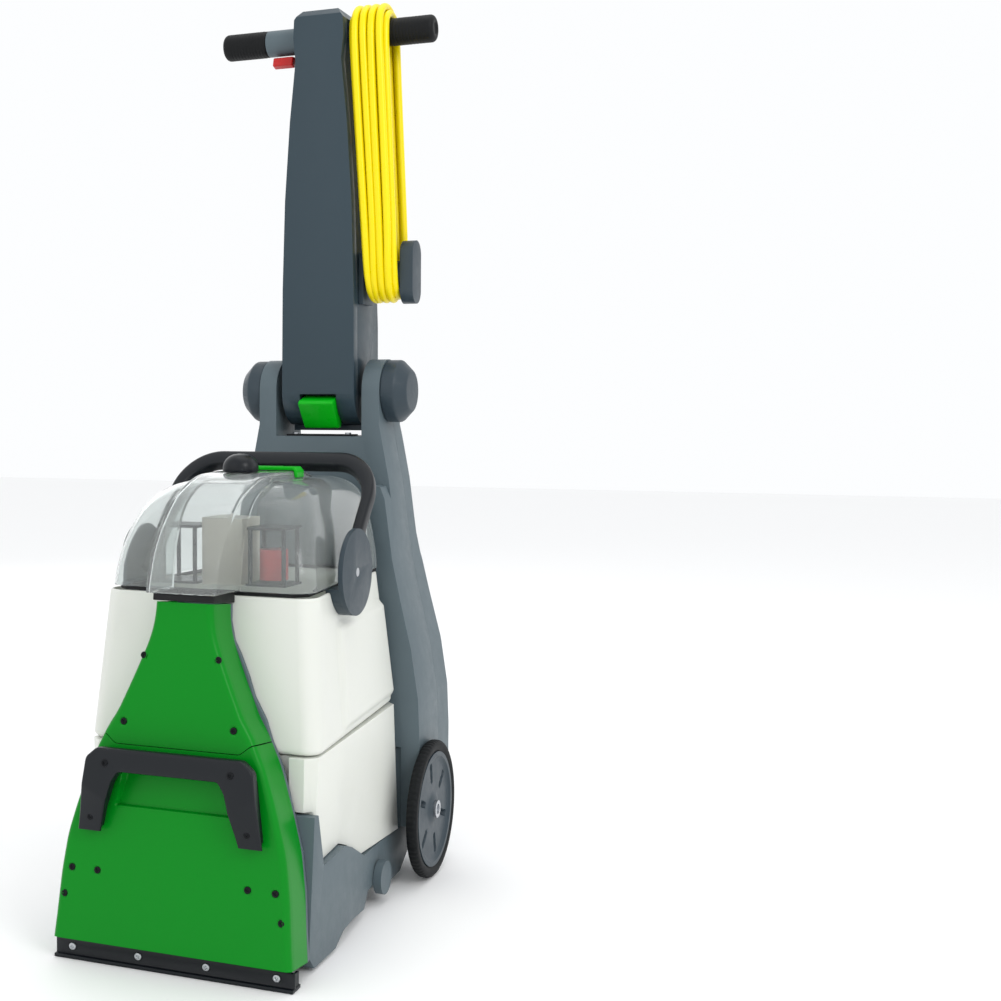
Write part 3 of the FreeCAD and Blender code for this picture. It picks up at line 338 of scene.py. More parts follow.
@dataclass(frozen=True)
class Moulding:
    """Injection-moulded plastic or rubber: spark-eroded grain, slight colour drift and handling marks."""

    name: str
    colour: str
    roughness: float = 0.4
    grain: float = 0.8
    relief: float = 0.04
    drift: float = 0.05
    marks: float = 0.08
    ior: float = 1.53
    coat: float = 0.0
    metallic: float = 0.0
    glow: float = 0.0
    shine: float = 0.28

    def make(self) -> Material:
        """Build the material.

        Returns:
            The material, with its pattern sizes in millimetres of the object.
        """
        material, tree = start_material(self.name)
        place = add_node(tree, "TexCoord").outputs["Object"]
        grain = add_node(tree, "TexNoise", {"Scale": 1000.0 / self.grain, "Detail": 3.0}, {"Vector": place})
        broad = add_node(tree, "TexNoise", {"Scale": 9.0, "Detail": 4.0, "Roughness": 0.6}, {"Vector": place})
        smear = add_node(tree, "TexNoise", {"Scale": 55.0, "Detail": 6.0, "Roughness": 0.7},
                         {"Vector": place})
        base = linear(self.colour)
        dark = tuple(c * (1 - self.drift) for c in base[:3]) + (1.0,)
        light = tuple(min(1.0, c * (1 + self.drift)) for c in base[:3]) + (1.0,)
        colour = add_node(tree, "Mix", {"data_type": "RGBA"}, {"Factor": broad.outputs["Fac"]})
        colour.inputs[6].default_value = dark
        colour.inputs[7].default_value = light
        rough = add_node(tree, "MapRange", {
            "From Min": 0.35, "From Max": 0.75, "To Min": max(0.02, self.roughness - self.marks / 2),
            "To Max": min(1.0, self.roughness + self.marks),
        }, {"Value": smear.outputs["Fac"]})
        bump = add_node(tree, "Bump", {"Strength": 0.6, "Distance": self.relief / 1000.0},
                        {"Height": grain.outputs["Fac"]})
        shader = add_node(tree, "BsdfPrincipled", {
            "IOR": self.ior, "Metallic": self.metallic, "Coat Weight": self.coat, "Coat Roughness": 0.12,
            "Specular IOR Level": self.shine,
        }, {
            "Base Color": colour.outputs[2], "Roughness": rough.outputs["Result"],
            "Normal": bump.outputs["Normal"],
        })
        if self.glow:
            shader.inputs["Subsurface Weight"].default_value = self.glow
            shader.inputs["Subsurface Radius"].default_value = (0.012, 0.012, 0.010)
            shader.inputs["Subsurface Scale"].default_value = 0.6
        add_node(tree, "OutputMaterial", {}, {"Surface": shader.outputs["BSDF"]})
        return material


@dataclass(frozen=True)
class BrightMetal:
    """Drawn or rolled metal with fine lines along X and small dull patches."""

    name: str
    colour: str
    roughness: float = 0.28
    line: float = 0.5

    def make(self) -> Material:
        """Build the material."""
        material, tree = start_material(self.name)
        place = add_node(tree, "TexCoord").outputs["Object"]
        stretch = add_node(tree, "Mapping", {"Scale": (0.05, 1.0, 1.0)}, {"Vector": place})
        lines = add_node(tree, "TexNoise", {"Scale": 1000.0 / self.line, "Detail": 2.0},
                         {"Vector": stretch.outputs["Vector"]})
        dull = add_node(tree, "TexNoise", {"Scale": 40.0, "Detail": 5.0}, {"Vector": place})
        rough = add_node(tree, "MapRange", {"To Min": self.roughness - 0.08, "To Max": self.roughness + 0.18},
                         {"Value": dull.outputs["Fac"]})
        bump = add_node(tree, "Bump", {"Strength": 0.25, "Distance": 0.00003},
                        {"Height": lines.outputs["Fac"]})
        shader = add_node(tree, "BsdfPrincipled", {"Base Color": linear(self.colour), "Metallic": 1.0},
                          {"Roughness": rough.outputs["Result"], "Normal": bump.outputs["Normal"]})
        add_node(tree, "OutputMaterial", {}, {"Surface": shader.outputs["BSDF"]})
        return material


@dataclass(frozen=True)
class ClearMoulding:
    """Clear polycarbonate: faint flow waves, a little haze and rubbed spots."""

    name: str
    colour: str
    haze: float = 0.04
    wave: float = 0.06
    clear: float = 0.9

    def make(self) -> Material:
        """Build the material."""
        material, tree = start_material(self.name)
        place = add_node(tree, "TexCoord").outputs["Object"]
        wave = add_node(tree, "TexNoise", {"Scale": 16.0, "Detail": 2.0}, {"Vector": place})
        rub = add_node(tree, "TexNoise", {"Scale": 38.0, "Detail": 6.0, "Roughness": 0.65}, {"Vector": place})
        rough = add_node(tree, "MapRange", {
            "From Min": 0.45, "From Max": 0.8, "To Min": self.haze, "To Max": self.haze + 0.12,
        }, {"Value": rub.outputs["Fac"]})
        bump = add_node(tree, "Bump", {"Strength": 0.35, "Distance": self.wave / 100.0},
                        {"Height": wave.outputs["Fac"]})
        shader = add_node(tree, "BsdfPrincipled", {
            "Base Color": linear(self.colour), "Transmission Weight": self.clear, "IOR": 1.25,
        }, {"Roughness": rough.outputs["Result"], "Normal": bump.outputs["Normal"]})
        add_node(tree, "OutputMaterial", {}, {"Surface": shader.outputs["BSDF"]})
        return material


class Finish(Enum):
    """The machine's finishes, each with the way it is made."""

    SHELL_GREEN = Moulding("polished_abs_green", "00801a", 0.3, 0.7, 0.02, 0.03, 0.015, coat=0.03, shine=0.12)
    ACCENT_GREEN = Moulding("gloss_abs_bright_green", "04ab16", 0.3, 0.7, 0.02, 0.04, coat=0.06, shine=0.15)
    BASE_GREY = Moulding("grained_polypropylene_grey", "58656b", 0.42, 0.9, 0.06, 0.04, shine=0.22)
    COLUMN_SLATE = Moulding("satin_abs_slate", "2d3d46", 0.34, 0.8, 0.03, 0.04, shine=0.3)
    TANK_WHITE = Moulding("natural_polyethylene", "dadcd5", 0.36, 1.4, 0.05, 0.015, 0.06, glow=0.15)
    BLACK = Moulding("moulded_nylon_black", "12161b", 0.36, 0.8, 0.05, 0.06, shine=0.25)
    CHARCOAL = Moulding("grained_nylon_charcoal", "323e46", 0.42, 0.9, 0.05, 0.05)
    GRIP = Moulding("soft_rubber_grip", "0b0d0f", 0.55, 0.6, 0.06, 0.06, shine=0.2)
    TYRE = Moulding("tyre_rubber", "0f1214", 0.65, 0.9, 0.1, 0.1, shine=0.2)
    SEAL = Moulding("seal_rubber", "0c0d10", 0.55, 0.7, 0.05, 0.05)
    CORD = Moulding("pvc_cord_jacket_yellow", "f2dc00", 0.3, 1.2, 0.03, 0.04, 0.1)
    RED = Moulding("gloss_abs_red", "b8100c", 0.3, 0.7, 0.02, 0.05, coat=0.2)
    FROST = ClearMoulding("frosted_polycarbonate", "e9e4d8", 0.3, clear=0.62)
    BRISTLE = Moulding("nylon_bristle", "d6dbd8", 0.5, 0.5, 0.03, 0.08)
    STEEL = BrightMetal("zinc_plated_steel", "b9bcc0", 0.26)
    DARK_STEEL = Moulding("black_oxide_steel", "15171a", 0.35, 0.5, 0.02, 0.1, metallic=0.6)
    MOTOR = BrightMetal("cast_aluminium", "9ea2a6", 0.4, 0.8)
    BRASS = BrightMetal("stamped_brass", "c9a659", 0.25)
    CLEAR = ClearMoulding("clear_polycarbonate", "f2f6f5", 0.03)


class Shelf:
    """Finished materials, each made once."""

    def __init__(self) -> None:
        """Start with no material made."""
        self.made: dict[Finish, Material] = {}

    def get(self, finish: Finish) -> Material:
        """The material of a finish."""
        if finish not in self.made:
            self.made[finish] = finish.value.make()
        return self.made[finish]


SHELF = Shelf()


def stand_in(piece: Piece, body: str, node: str, finish: Finish, split: float = 0.0) -> None:
    """Let a finished piece move with a body in place of a CAD node.

    Args:
        piece: The piece.
        body: The body that it rides on.
        node: The CAD node that it stands for.
        finish: Its finish.
        split: Edges sharper than this many degrees are shaded as edges; 0 leaves all smooth.
    """
    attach(piece, body)
    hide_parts(node)
    dress(piece, SHELF.get(finish))
    if split:
        edges = piece.modifiers.new("edges", "EDGE_SPLIT")
        edges.split_angle = math.radians(split)
    LOG.info("%s: %d faces", piece.name, len(piece.data.polygons))


# ---- camera, light and floor ----------------------------------------------------------------------------


@dataclass
class Studio:
    """Camera at the known angle, soft lights and a pale floor."""

    azimuth: float = 22.64
    pitch: float = 3.63
    lens: float = 54.1
    shift: float = 0.2203
    eye: tuple[float, float, float] = (703.0, -1389.0, 598.0)

    def camera(self) -> None:
        """Place the camera."""
        data = bpy.data.cameras.new("camera")
        data.lens = self.lens
        data.sensor_width = 36.0
        data.shift_x = self.shift
        data.clip_end = 60.0
        camera = bpy.data.objects.new("camera", data)
        camera.location = Vector(GRID.metres(np.array(self.eye)))
        camera.rotation_euler = Euler((math.radians(90.0 - self.pitch), 0.0, math.radians(self.azimuth)))
        bpy.context.scene.collection.objects.link(camera)
        bpy.context.scene.camera = camera

    def lamp(self, name: str, where: tuple[float, float, float], size: float, power: float) -> None:
        """Hang one soft square light that looks at the machine's middle."""
        data = bpy.data.lights.new(name, "AREA")
        data.shape = "SQUARE"
        data.size = size
        data.energy = power
        light = bpy.data.objects.new(name, data)
        light.location = where
        light.rotation_euler = (Vector((0, 0, 0.5)) - Vector(where)).to_track_quat("-Z", "Y").to_euler()
        bpy.context.scene.collection.objects.link(light)

    def build(self) -> None:
        """Make the whole studio."""
        self.camera()
        self.lamp("key", (2.6, -1.7, 2.3), 1.3, 30.0)
        self.lamp("front", (-1.2, -3.0, 1.9), 2.2, 7.0)
        self.lamp("top", (0.2, 0.3, 3.2), 2.2, 14.0)
        self.lamp("back", (-2.2, 2.6, 1.9), 1.8, 8.0)
        world = bpy.data.worlds.new("room")
        world.use_nodes = True
        world.node_tree.nodes["Background"].inputs["Color"].default_value = (0.98, 0.99, 1.0, 1.0)
        world.node_tree.nodes["Background"].inputs["Strength"].default_value = 1.0
        bpy.context.scene.world = world
        bpy.context.scene.view_settings.view_transform = "Standard"
        corners = [(-9, -9, -0.0006), (9, -9, -0.0006), (9, 9, -0.0006), (-9, 9, -0.0006)]
        floor = build_piece("floor", np.array(corners), [(0, 1, 2, 3)], False)
        material, tree = start_material("pale_floor")
        place = add_node(tree, "TexCoord").outputs["Object"]
        fine = add_node(tree, "TexNoise", {"Scale": 3.0}, {"Vector": place})
        rough = add_node(tree, "MapRange", {"To Min": 0.75, "To Max": 0.85}, {"Value": fine.outputs["Fac"]})
        shader = add_node(tree, "BsdfPrincipled", {"Base Color": (0.94, 0.94, 0.94, 1)},
                          {"Roughness": rough.outputs["Result"]})
        add_node(tree, "OutputMaterial", {}, {"Surface": shader.outputs["BSDF"]})
        dress(floor, material)


# ---- cord -----------------------------------------------------------------------------------------------


@dataclass
class PowerCord:
    """The mains lead: up the column's back, nine turns over the handlebar and the hook, and into its plug."""

    lead: tuple[tuple[float, float, float], ...] = (
        (22, 529, 738), (22, 529, 790), (24, 526, 838), (31, 519, 884), (41, 509, 928), (49, 501, 966),
    )
    tail: tuple[tuple[float, float, float], ...] = (
        (68, 491, 800), (71, 495, 836), (72, 501.5, 866), (72, 503.5, 888), (72, 503.5, 904),
    )
    diameter: float = 9.8
    bar: tuple[float, float] = (459.0, 1070.0)
    arm_height: float = 765.0
    inner: float = 22.6
    outer: float = 31.6

    def strands(self) -> list[tuple[float, float, float]]:
        """Place of each strand: radius, x at the handlebar and x at the hook, in winding order."""
        first = [(self.inner, 40.6 + 10.9 * n, 61.5 + 9.3 * n) for n in range(5)]
        second = [(self.outer, 46.3 + 10.9 * n, 66.5 + 9.2 * n) for n in (3, 2, 1, 0)]
        return first + second

    def turns(self) -> list[tuple[float, float, float]]:
        """Points of the wound part, twelve and more for each turn."""
        points: list[tuple[float, float, float]] = [(45.5, 493.5, 1006), (42, 485, 1040)]
        strands = self.strands()
        wobble = (0.3, -0.4, 0.2, 0.5, -0.2, 0.6, -0.7, 0.4, -0.5)
        quarter = [math.radians(22.5 + 45.0 * n) for n in range(4)]
        stretch = 1.0 / math.cos(math.radians(22.5))
        levels = (1012.0, 918.0, 823.0)
        for n, (radius, top, bottom) in enumerate(strands):
            rate = (top - bottom) / (self.bar[1] - self.arm_height)
            for angle in quarter:
                points.append((top, self.bar[0] + radius * stretch * math.cos(angle),
                               self.bar[1] + radius * stretch * math.sin(angle)))
            for level in levels:
                aside = bottom + rate * (level - self.arm_height) + wobble[n]
                points.append((aside, self.bar[0] - radius, level))
            last = n + 1 == len(strands)
            after = (radius, top, bottom + 1.0) if last else strands[n + 1]
            for step, angle in enumerate(quarter):
                share = (step + 0.5) / 4
                reach = (radius + (after[0] - radius) * share) * stretch
                points.append((bottom + (after[2] - bottom) * share, self.bar[0] - reach * math.cos(angle),
                               self.arm_height - reach * math.sin(angle)))
            if last:
                break
            rate = (after[1] - after[2]) / (self.bar[1] - self.arm_height)
            for level in reversed(levels):
                points.append((after[2] + rate * (level - self.arm_height), self.bar[0] + after[0], level))
        return points

    def build(self) -> None:
        route = GRID.metres(np.array([*self.lead, *self.turns(), *self.tail], float))
        curve = bpy.data.curves.new("power_cord", "CURVE")
        curve.dimensions = "3D"
        curve.bevel_depth = self.diameter / 2000.0
        curve.bevel_resolution = 4
        curve.resolution_u = 6
        curve.use_fill_caps = True
        spline = curve.splines.new("NURBS")
        spline.points.add(len(route) - 1)
        spline.points.foreach_set("co", np.c_[route, np.ones(len(route))].ravel())
        spline.order_u = 3
        spline.use_endpoint_u = True
        piece = bpy.data.objects.new("power_cord", curve)
        bpy.context.scene.collection.objects.link(piece)
        curve.materials.append(SHELF.get(Finish.CORD))
        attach(piece, "handle")
        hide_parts("cord_lead", "cord_hank")


# ---- tank, covers and lid --------------------------------------------------------------------------------------


def smoothstep(low: float, high: float, value: Points) -> Points:
    """Blend that is 0 below low, 1 above high and 3t^2 - 2t^3 between."""
    t = np.clip((np.asarray(value, float) - low) / (high - low), 0.0, 1.0)
    return t * t * (3.0 - 2.0 * t)


def curved_rows(table: Points, rows: int) -> Points:
    """Rows between the rows of a table, on a Catmull-Rom curve through them.

    Args:
        table: Array (n, k) of key rows.
        rows: Rows wanted.

    Returns:
        Array (rows, k).
    """
    table = np.asarray(table, float)
    padded = np.concatenate([2 * table[:1] - table[1:2], table, 2 * table[-1:] - table[-2:-1]])
    where = np.linspace(0, len(table) - 1, rows)
    start = np.clip(where.astype(int), 0, len(table) - 2)
    t = (where - start)[:, None]
    a, b, c, d = (padded[start + n] for n in range(4))
    square, cube = 2 * a - 5 * b + 4 * c - d, 3 * b - a - 3 * c + d
    return 0.5 * (2 * b + (c - a) * t + square * t**2 + cube * t**3)


def strip_cap(count: int, start: int, flip: bool) -> list[list[int]]:
    """Close a ring whose points k and count - 1 - k are mirror images.

    Args:
        count: Points of the ring.
        start: Number of its first vertex.
        flip: True to turn the faces over.

    Returns:
        The faces.
    """
    k = np.arange(count // 2 - 1)
    quads = np.stack([k, k + 1, count - 2 - k, count - 1 - k], axis=-1) + start
    return (quads[:, ::-1] if flip else quads).tolist()


def closed_by_strips(patch: Patchwork, points: Points) -> Patchwork:
    """Add rings to a patchwork and close both ends with strips."""
    first = patch.count
    rows, columns = points.shape[:2]
    patch.add_grid(points, caps=False)
    patch.faces += strip_cap(columns, first, True)
    patch.faces += strip_cap(columns, first + (rows - 1) * columns, False)
    return patch


def both_sides(right: Sequence[tuple[float, float]]) -> list[tuple[float, float]]:
    """Whole outline from its right half, listed from the front to the back."""
    return list(right) + [(-x, y) for x, y in reversed(right)]


@dataclass
class RecoveryTank:
    """Recovery tank, blow moulded, with panels raised on its sides."""

    seam: float = 226.0
    rim: float = 392.0
    wall: float = 3.5
    panel: float = 5.0
    steps: int = 8
    stations: int = 56

    def ring(self, front: float, rear: float, front_half: float, rear_half: float, corner: float,
             inset: float = 0.0) -> Points:
        """Plan of a tank: four rounded corners, with even stations along both sides.

        Args:
            front: Y of the front.
            rear: Y of the back.
            front_half: Half width at the front.
            rear_half: Half width at the back.
            corner: Radius of the corners.
            inset: How far the whole plan is moved in.

        Returns:
            Array (points, 2), whose point k mirrors its point -1 - k.
        """
        right = [(front_half - inset, front + inset), (rear_half - inset, rear - inset)]
        radius = max(corner - inset, 2.0)
        loop = rounded_loop(both_sides(right), [radius] * 4, self.steps)
        start, end = loop[self.steps - 1], loop[self.steps]
        side = start + (end - start) * np.linspace(0, 1, self.stations + 2)[1:-1, None]
        back = loop[self.steps:3 * self.steps]
        return np.concatenate([
            loop[:self.steps], side, back, side[::-1] * np.array([-1.0, 1.0]), loop[3 * self.steps:],
        ])

    def raised(self, points: Points, low: float, high: float, front: float) -> Points:
        """Raise the side panels: a smooth step from a front edge to the back, between two heights."""
        x, y, z = points[..., 0], points[..., 1], points[..., 2]
        edge = smoothstep(front, front + 8.0, y)
        band = smoothstep(low, low + 8.0, z) * (1.0 - smoothstep(high - 7.0, high, z))
        out = points.copy()
        out[..., 0] = x + np.sign(x) * self.panel * edge * band * np.clip((np.abs(x) - 55.0) / 40.0, 0.0, 1.0)
        return out

    def upper_ring(self, share: float, height: float, inset: float) -> Points:
        """One ring of the recovery tank, which narrows towards its rim."""
        plan = self.ring(67.5 + 18.5 * share, 398 - 8 * share, 140 - 12 * share, 114 - 19 * share, 20, inset)
        return np.c_[plan, np.full(len(plan), height)]

    def upper(self) -> Piece:
        """Recovery tank: a cup with its edges rounded."""
        low = self.seam + 1.0
        foot, lip = np.linspace(0, math.pi / 2, 6), np.linspace(0, math.pi / 2, 5)
        heights = np.concatenate([
            low + 7.0 * (1 - np.cos(foot)), np.linspace(low + 9, self.rim - 4, 44),
            self.rim - 3.0 * (1 - np.sin(lip)),
        ])
        insets = np.concatenate([7.0 * (1 - np.sin(foot)), np.zeros(44), 1.6 * (1 - np.cos(lip))])
        shares = (heights - low) / (self.rim - low)
        outer = np.array([self.upper_ring(*row) for row in zip(shares, heights, insets)])
        inner = np.array([
            self.upper_ring(share, low + (self.rim - low) * share, self.wall)
            for share in np.linspace(0.998, 0.04, 12)
        ])
        points = self.raised(outer, low + 8.0, 356.0, 163.0)
        return closed_by_strips(Patchwork("tank_upper_shell"), np.concatenate([points, inner])).piece()

    def build(self) -> None:
        """Make the recovery tank."""
        piece = self.upper()
        stand_in(piece, "tank", "tank_upper", Finish.TANK_WHITE)


@dataclass
class DuctCovers:
    """Green covers of the nozzle and of the duct: two open-backed shells that meet at a stepped seam."""

    depth: float = 48.0
    wall: float = 3.0
    corner: float = 7.0
    widths: tuple[tuple[float, float], ...] = (
        (24, 139.5), (51, 137), (96, 133.6), (137, 127.8), (168, 119), (196, 110.2), (225, 100.2), (249, 88.4),
        (272, 78.6), (295, 67.4), (315, 57.6), (339, 46.6), (354, 39.8), (374, 34.6), (392, 33.6),
    )
    recess: tuple[tuple[float, float], ...] = ((172, 70.0), (231, 58.0))
    seats: tuple[tuple[float, float], ...] = ((43.8, 334), (64.5, 262), (88, 101), (119, 101), (127, 72))

    def half(self, height: Points) -> Points:
        """Half width at a height: the table's straight runs, averaged over 20 mm so that they flow."""
        table = np.array(self.widths)
        steps = np.linspace(-10, 10, 11)
        spread = np.asarray(height, float)[..., None] + steps
        ends = table[[0, -1], 0]
        beyond = spread - np.clip(spread, *ends)
        slope = np.where(beyond < 0, -0.09, -0.04)
        return (np.interp(spread, table[:, 0], table[:, 1]) + beyond * slope).mean(axis=-1)

    def sunk(self, x: Points, z: Points, seats: bool) -> Points:
        """Depth of the front below its face: the finger recess, and a dip at each screw."""
        (low, low_half), (high, high_half) = self.recess
        edge = np.interp(z, [low, high], [low_half, high_half])
        inside = (1 - smoothstep(edge - 2.0, edge, np.abs(x))) * smoothstep(low, low + 2.0, z)
        inside = inside * (1 - smoothstep(high - 3.0, high, z))
        depth = inside * np.interp(z, [low, high], [5.0, 14.0])
        for seat_x, seat_z in self.seats if seats else ():
            away = np.hypot(np.abs(x) - seat_x, z - seat_z)
            depth = depth + 1.4 * (1 - smoothstep(4.1, 5.1, away))
        return depth

    def shell(self, name: str, low: tuple[float, float], high: tuple[float, float], rows: int) -> Piece:
        """One cover: rings that run out over the front and back along the inner wall.

        Args:
            name: The piece's name.
            low: Height of the lower edge in the middle and at the sides.
            high: Height of the upper edge in the middle and at the sides.
            rows: Rings.

        Returns:
            The cover.
        """
        bend = np.linspace(0, math.pi / 2, 6)
        front = np.linspace(1, -1, 171)[1:-1]

        def skin(inset: float, seats: bool) -> Points:
            """Outer or inner wall, from the right rear over the front to the left rear."""
            radius = self.corner - inset
            side = np.linspace(self.depth, self.corner, 7)[:-1]
            off = np.concatenate([np.zeros(6), radius * (np.cos(bend) - 1)]) - inset
            back = np.concatenate([side, self.corner - radius * np.sin(bend)])
            share = np.linspace(0, 1, rows)[:, None]
            wide = self.half(low[1] + (high[1] - low[1]) * share[:, 0])[:, None]
            x = np.concatenate([wide + off, (wide - self.corner) * front, -(wide + off)[:, ::-1]], axis=1)
            y = np.concatenate([back, np.full(len(front), inset), back[::-1]])
            outward = smoothstep(70.0, 89.0, np.abs(x))
            foot, top = (mid + (edge - mid) * outward for mid, edge in (low, high))
            z = foot + (top - foot) * share
            sunk = self.sunk(x, z, seats) * (np.abs(x) < wide - self.corner - 0.01)
            return np.stack([x, np.broadcast_to(y, x.shape) + sunk, z], axis=-1)

        rings = np.concatenate([skin(0.0, True), skin(self.wall, False)[:, ::-1]], axis=1)
        return closed_by_strips(Patchwork(name), GRID.leaned(rings)).piece()

    def build(self) -> None:
        """Make both covers."""
        lower = self.shell("cover_lower_shell", (24.2, 24.2), (237.5, 248.0), 132)
        upper = self.shell("cover_upper_shell", (238.3, 249.2), (391.8, 391.8), 100)
        for piece, node in ((lower, "cover_lower"), (upper, "cover_upper")):
            stand_in(piece, "base", node, Finish.SHELL_GREEN, 50)


@dataclass
class CarryHandle:
    """Carry handle: an arched bar with rounded edges, and the two feet that hold it off the cover."""

    outer: tuple[tuple[float, float], ...] = ((107, 145), (97, 224), (84, 235))
    inner: tuple[tuple[float, float], ...] = ((80.5, 145), (65.5, 199), (58, 210.6))
    back: float = -8.0
    edge: float = 3.0

    def run(self, outline: Sequence[tuple[float, float]], radius: float, stations: int) -> Points:
        """Open outline over the arch with rounded bends, at even shares of its length.

        Args:
            outline: Its right half from the foot to the top.
            radius: Radius of the bends.
            stations: Points wanted.

        Returns:
            Array (stations, 2).
        """
        corners = both_sides(outline)
        loop = rounded_loop(corners, [0.01] + [radius] * (len(corners) - 2) + [0.01], 8)
        steps = np.linalg.norm(np.diff(loop, axis=0), axis=1)
        length = np.concatenate([[0.0], np.cumsum(steps)])
        share = np.linspace(0, length[-1], stations)
        return np.stack([np.interp(share, length, loop[:, k]) for k in range(2)], axis=-1)

    def bar(self) -> Points:
        """Rounded section carried from the outer outline to the inner one, station by station."""
        outer, inner = self.run(self.outer, 9.0, 120), self.run(self.inner, 6.0, 120)
        across = rounded_loop([(0, 0), (1, 0), (1, 1), (0, 1)], [0.0001] * 4, 1)
        bend = np.linspace(0, math.pi / 2, 5)
        turn = (bend[None, :] + np.arange(4)[:, None] * math.pi / 2).ravel()
        corner = np.repeat(np.roll(across, -2, axis=0), 5, axis=0)
        wide = np.linalg.norm(inner - outer, axis=1)[:, None]
        front = np.interp(outer[:, 1:], [145, 195], [-11.5, -22.0])
        deep = self.back - front
        radius = np.minimum(self.edge, deep * 0.42)
        s = corner[:, 0] * wide + (1 - 2 * corner[:, 0]) * radius + radius * np.cos(turn)
        d = corner[:, 1] * deep + (1 - 2 * corner[:, 1]) * radius + radius * np.sin(turn)
        way = (inner - outer)[:, None, :] / wide[..., None]
        flat = outer[:, None, :] + way * s[..., None]
        return np.stack([flat[..., 0], front + d, flat[..., 1]], axis=-1)

    def foot(self, side: int) -> Points:
        """One foot: a rounded block behind a leg."""
        corners = [(82 * side, 148), (104.5 * side, 148), (94 * side, 216), (72 * side, 216)]
        loop = rounded_loop(corners, [5.0] * 4, 6)
        depth = np.array([-9.0, -0.35])
        rings = np.broadcast_to(loop, (2, *loop.shape))
        deep = np.broadcast_to(depth[:, None], rings.shape[:2])
        return np.stack([rings[..., 0], deep, rings[..., 1]], axis=-1)

    def build(self) -> None:
        """Make the handle."""
        patch = Patchwork("carry_handle").add_grid(GRID.leaned(self.bar()))
        for side in (1, -1):
            patch.add_grid(GRID.leaned(self.foot(side)))
        piece = patch.piece()
        stand_in(piece, "base", "front_handle", Finish.BLACK, 50)


@dataclass
class ClearLid:
    """Clear lid: a dome with a raised duct band along its middle, one wall thick."""

    wall: float = 2.4
    band_half: float = 41.0
    steps: int = 8
    port: tuple[float, float] = (0.0, 180.0)

    def rows(self, inset: float) -> Points:
        """Rings from the bottom to the top.

        Each key row is height, band front, dome front, back, front half, back half and corner radius.

        Args:
            inset: How far the surface is moved in.

        Returns:
            Array (rings, points, 3).
        """
        dome = curved_rows(np.array([
            (397, 22, 85.5, 391, 123.5, 97, 22), (415, 26, 87.5, 390.5, 122, 96.2, 24),
            (440, 35.5, 92, 388, 118, 94, 28), (462, 50.5, 101, 384.5, 113, 91.5, 32),
            (480, 68, 112, 380, 106.5, 88, 34), (492, 82, 124, 375, 100, 84, 35),
            (500, 95, 138, 368, 93, 79, 34), (507, 112, 157, 356, 82, 71, 30), (512, 125, 184, 338, 66, 58, 22),
        ]), 44)
        band = curved_rows(np.array([
            (512.4, 127, 165, 302, 41.9, 41.6, 1.4), (515.5, 137, 170, 288, 41.9, 41.6, 1.4),
            (518.5, 152, 178, 275, 41.7, 41.4, 1.2), (520.4, 170, 190, 262, 41.0, 40.7, 1.2),
            (521.0, 186, 200, 250, 38.0, 37.7, 1.0),
        ]), 9)
        rings = []
        for height, front, dome_front, rear, front_half, rear_half, corner in np.concatenate([dome, band]):
            half = self.band_half if height < 520 else self.band_half - 3.0
            right = [
                (half - inset, front + inset), (half - inset + 0.3, dome_front + inset - 0.2),
                (front_half - inset + 0.3, dome_front + inset), (rear_half - inset, rear - inset),
            ]
            dome_corner = max(corner - inset, 0.8)
            radii = [3.0, 0.05, 0.05, dome_corner] if height > 512.2 else [3.0, 1.2, dome_corner, dome_corner]
            loop = rounded_loop(both_sides(right), radii + radii[::-1], self.steps)
            rings.append(np.c_[loop, np.full(len(loop), height - inset)])
        points = np.array(rings)
        floor = np.where(points[..., 1] < 84.8, 399.3, 396.6)
        points[..., 2] = np.maximum(points[..., 2], floor)
        return points

    def build(self) -> None:
        """Make the lid's shell and its hose port."""
        outer, inner = self.rows(0.0), self.rows(self.wall)
        patch = closed_by_strips(Patchwork("lid_shell"), np.concatenate([inner[::-1], outer]))
        angle = np.linspace(0, 2 * math.pi, 48, endpoint=False)
        section = np.array([(13.5, 519.5), (17.0, 519.5), (17.0, 529.0), (13.5, 529.0)])
        port = np.stack([
            self.port[0] + section[None, :, 0] * np.cos(angle)[:, None],
            self.port[1] + section[None, :, 0] * np.sin(angle)[:, None],
            np.broadcast_to(section[None, :, 1], (48, 4)),
        ], axis=-1)
        patch.add_grid(port, wrap_rows=True)
        piece = patch.piece()
        crease = piece.modifiers.new("corners", "BEVEL")
        crease.width = 0.0012
        crease.segments = 2
        crease.limit_method = "ANGLE"
        crease.angle_limit = math.radians(40)
        stand_in(piece, "tank", "lid", Finish.CLEAR)


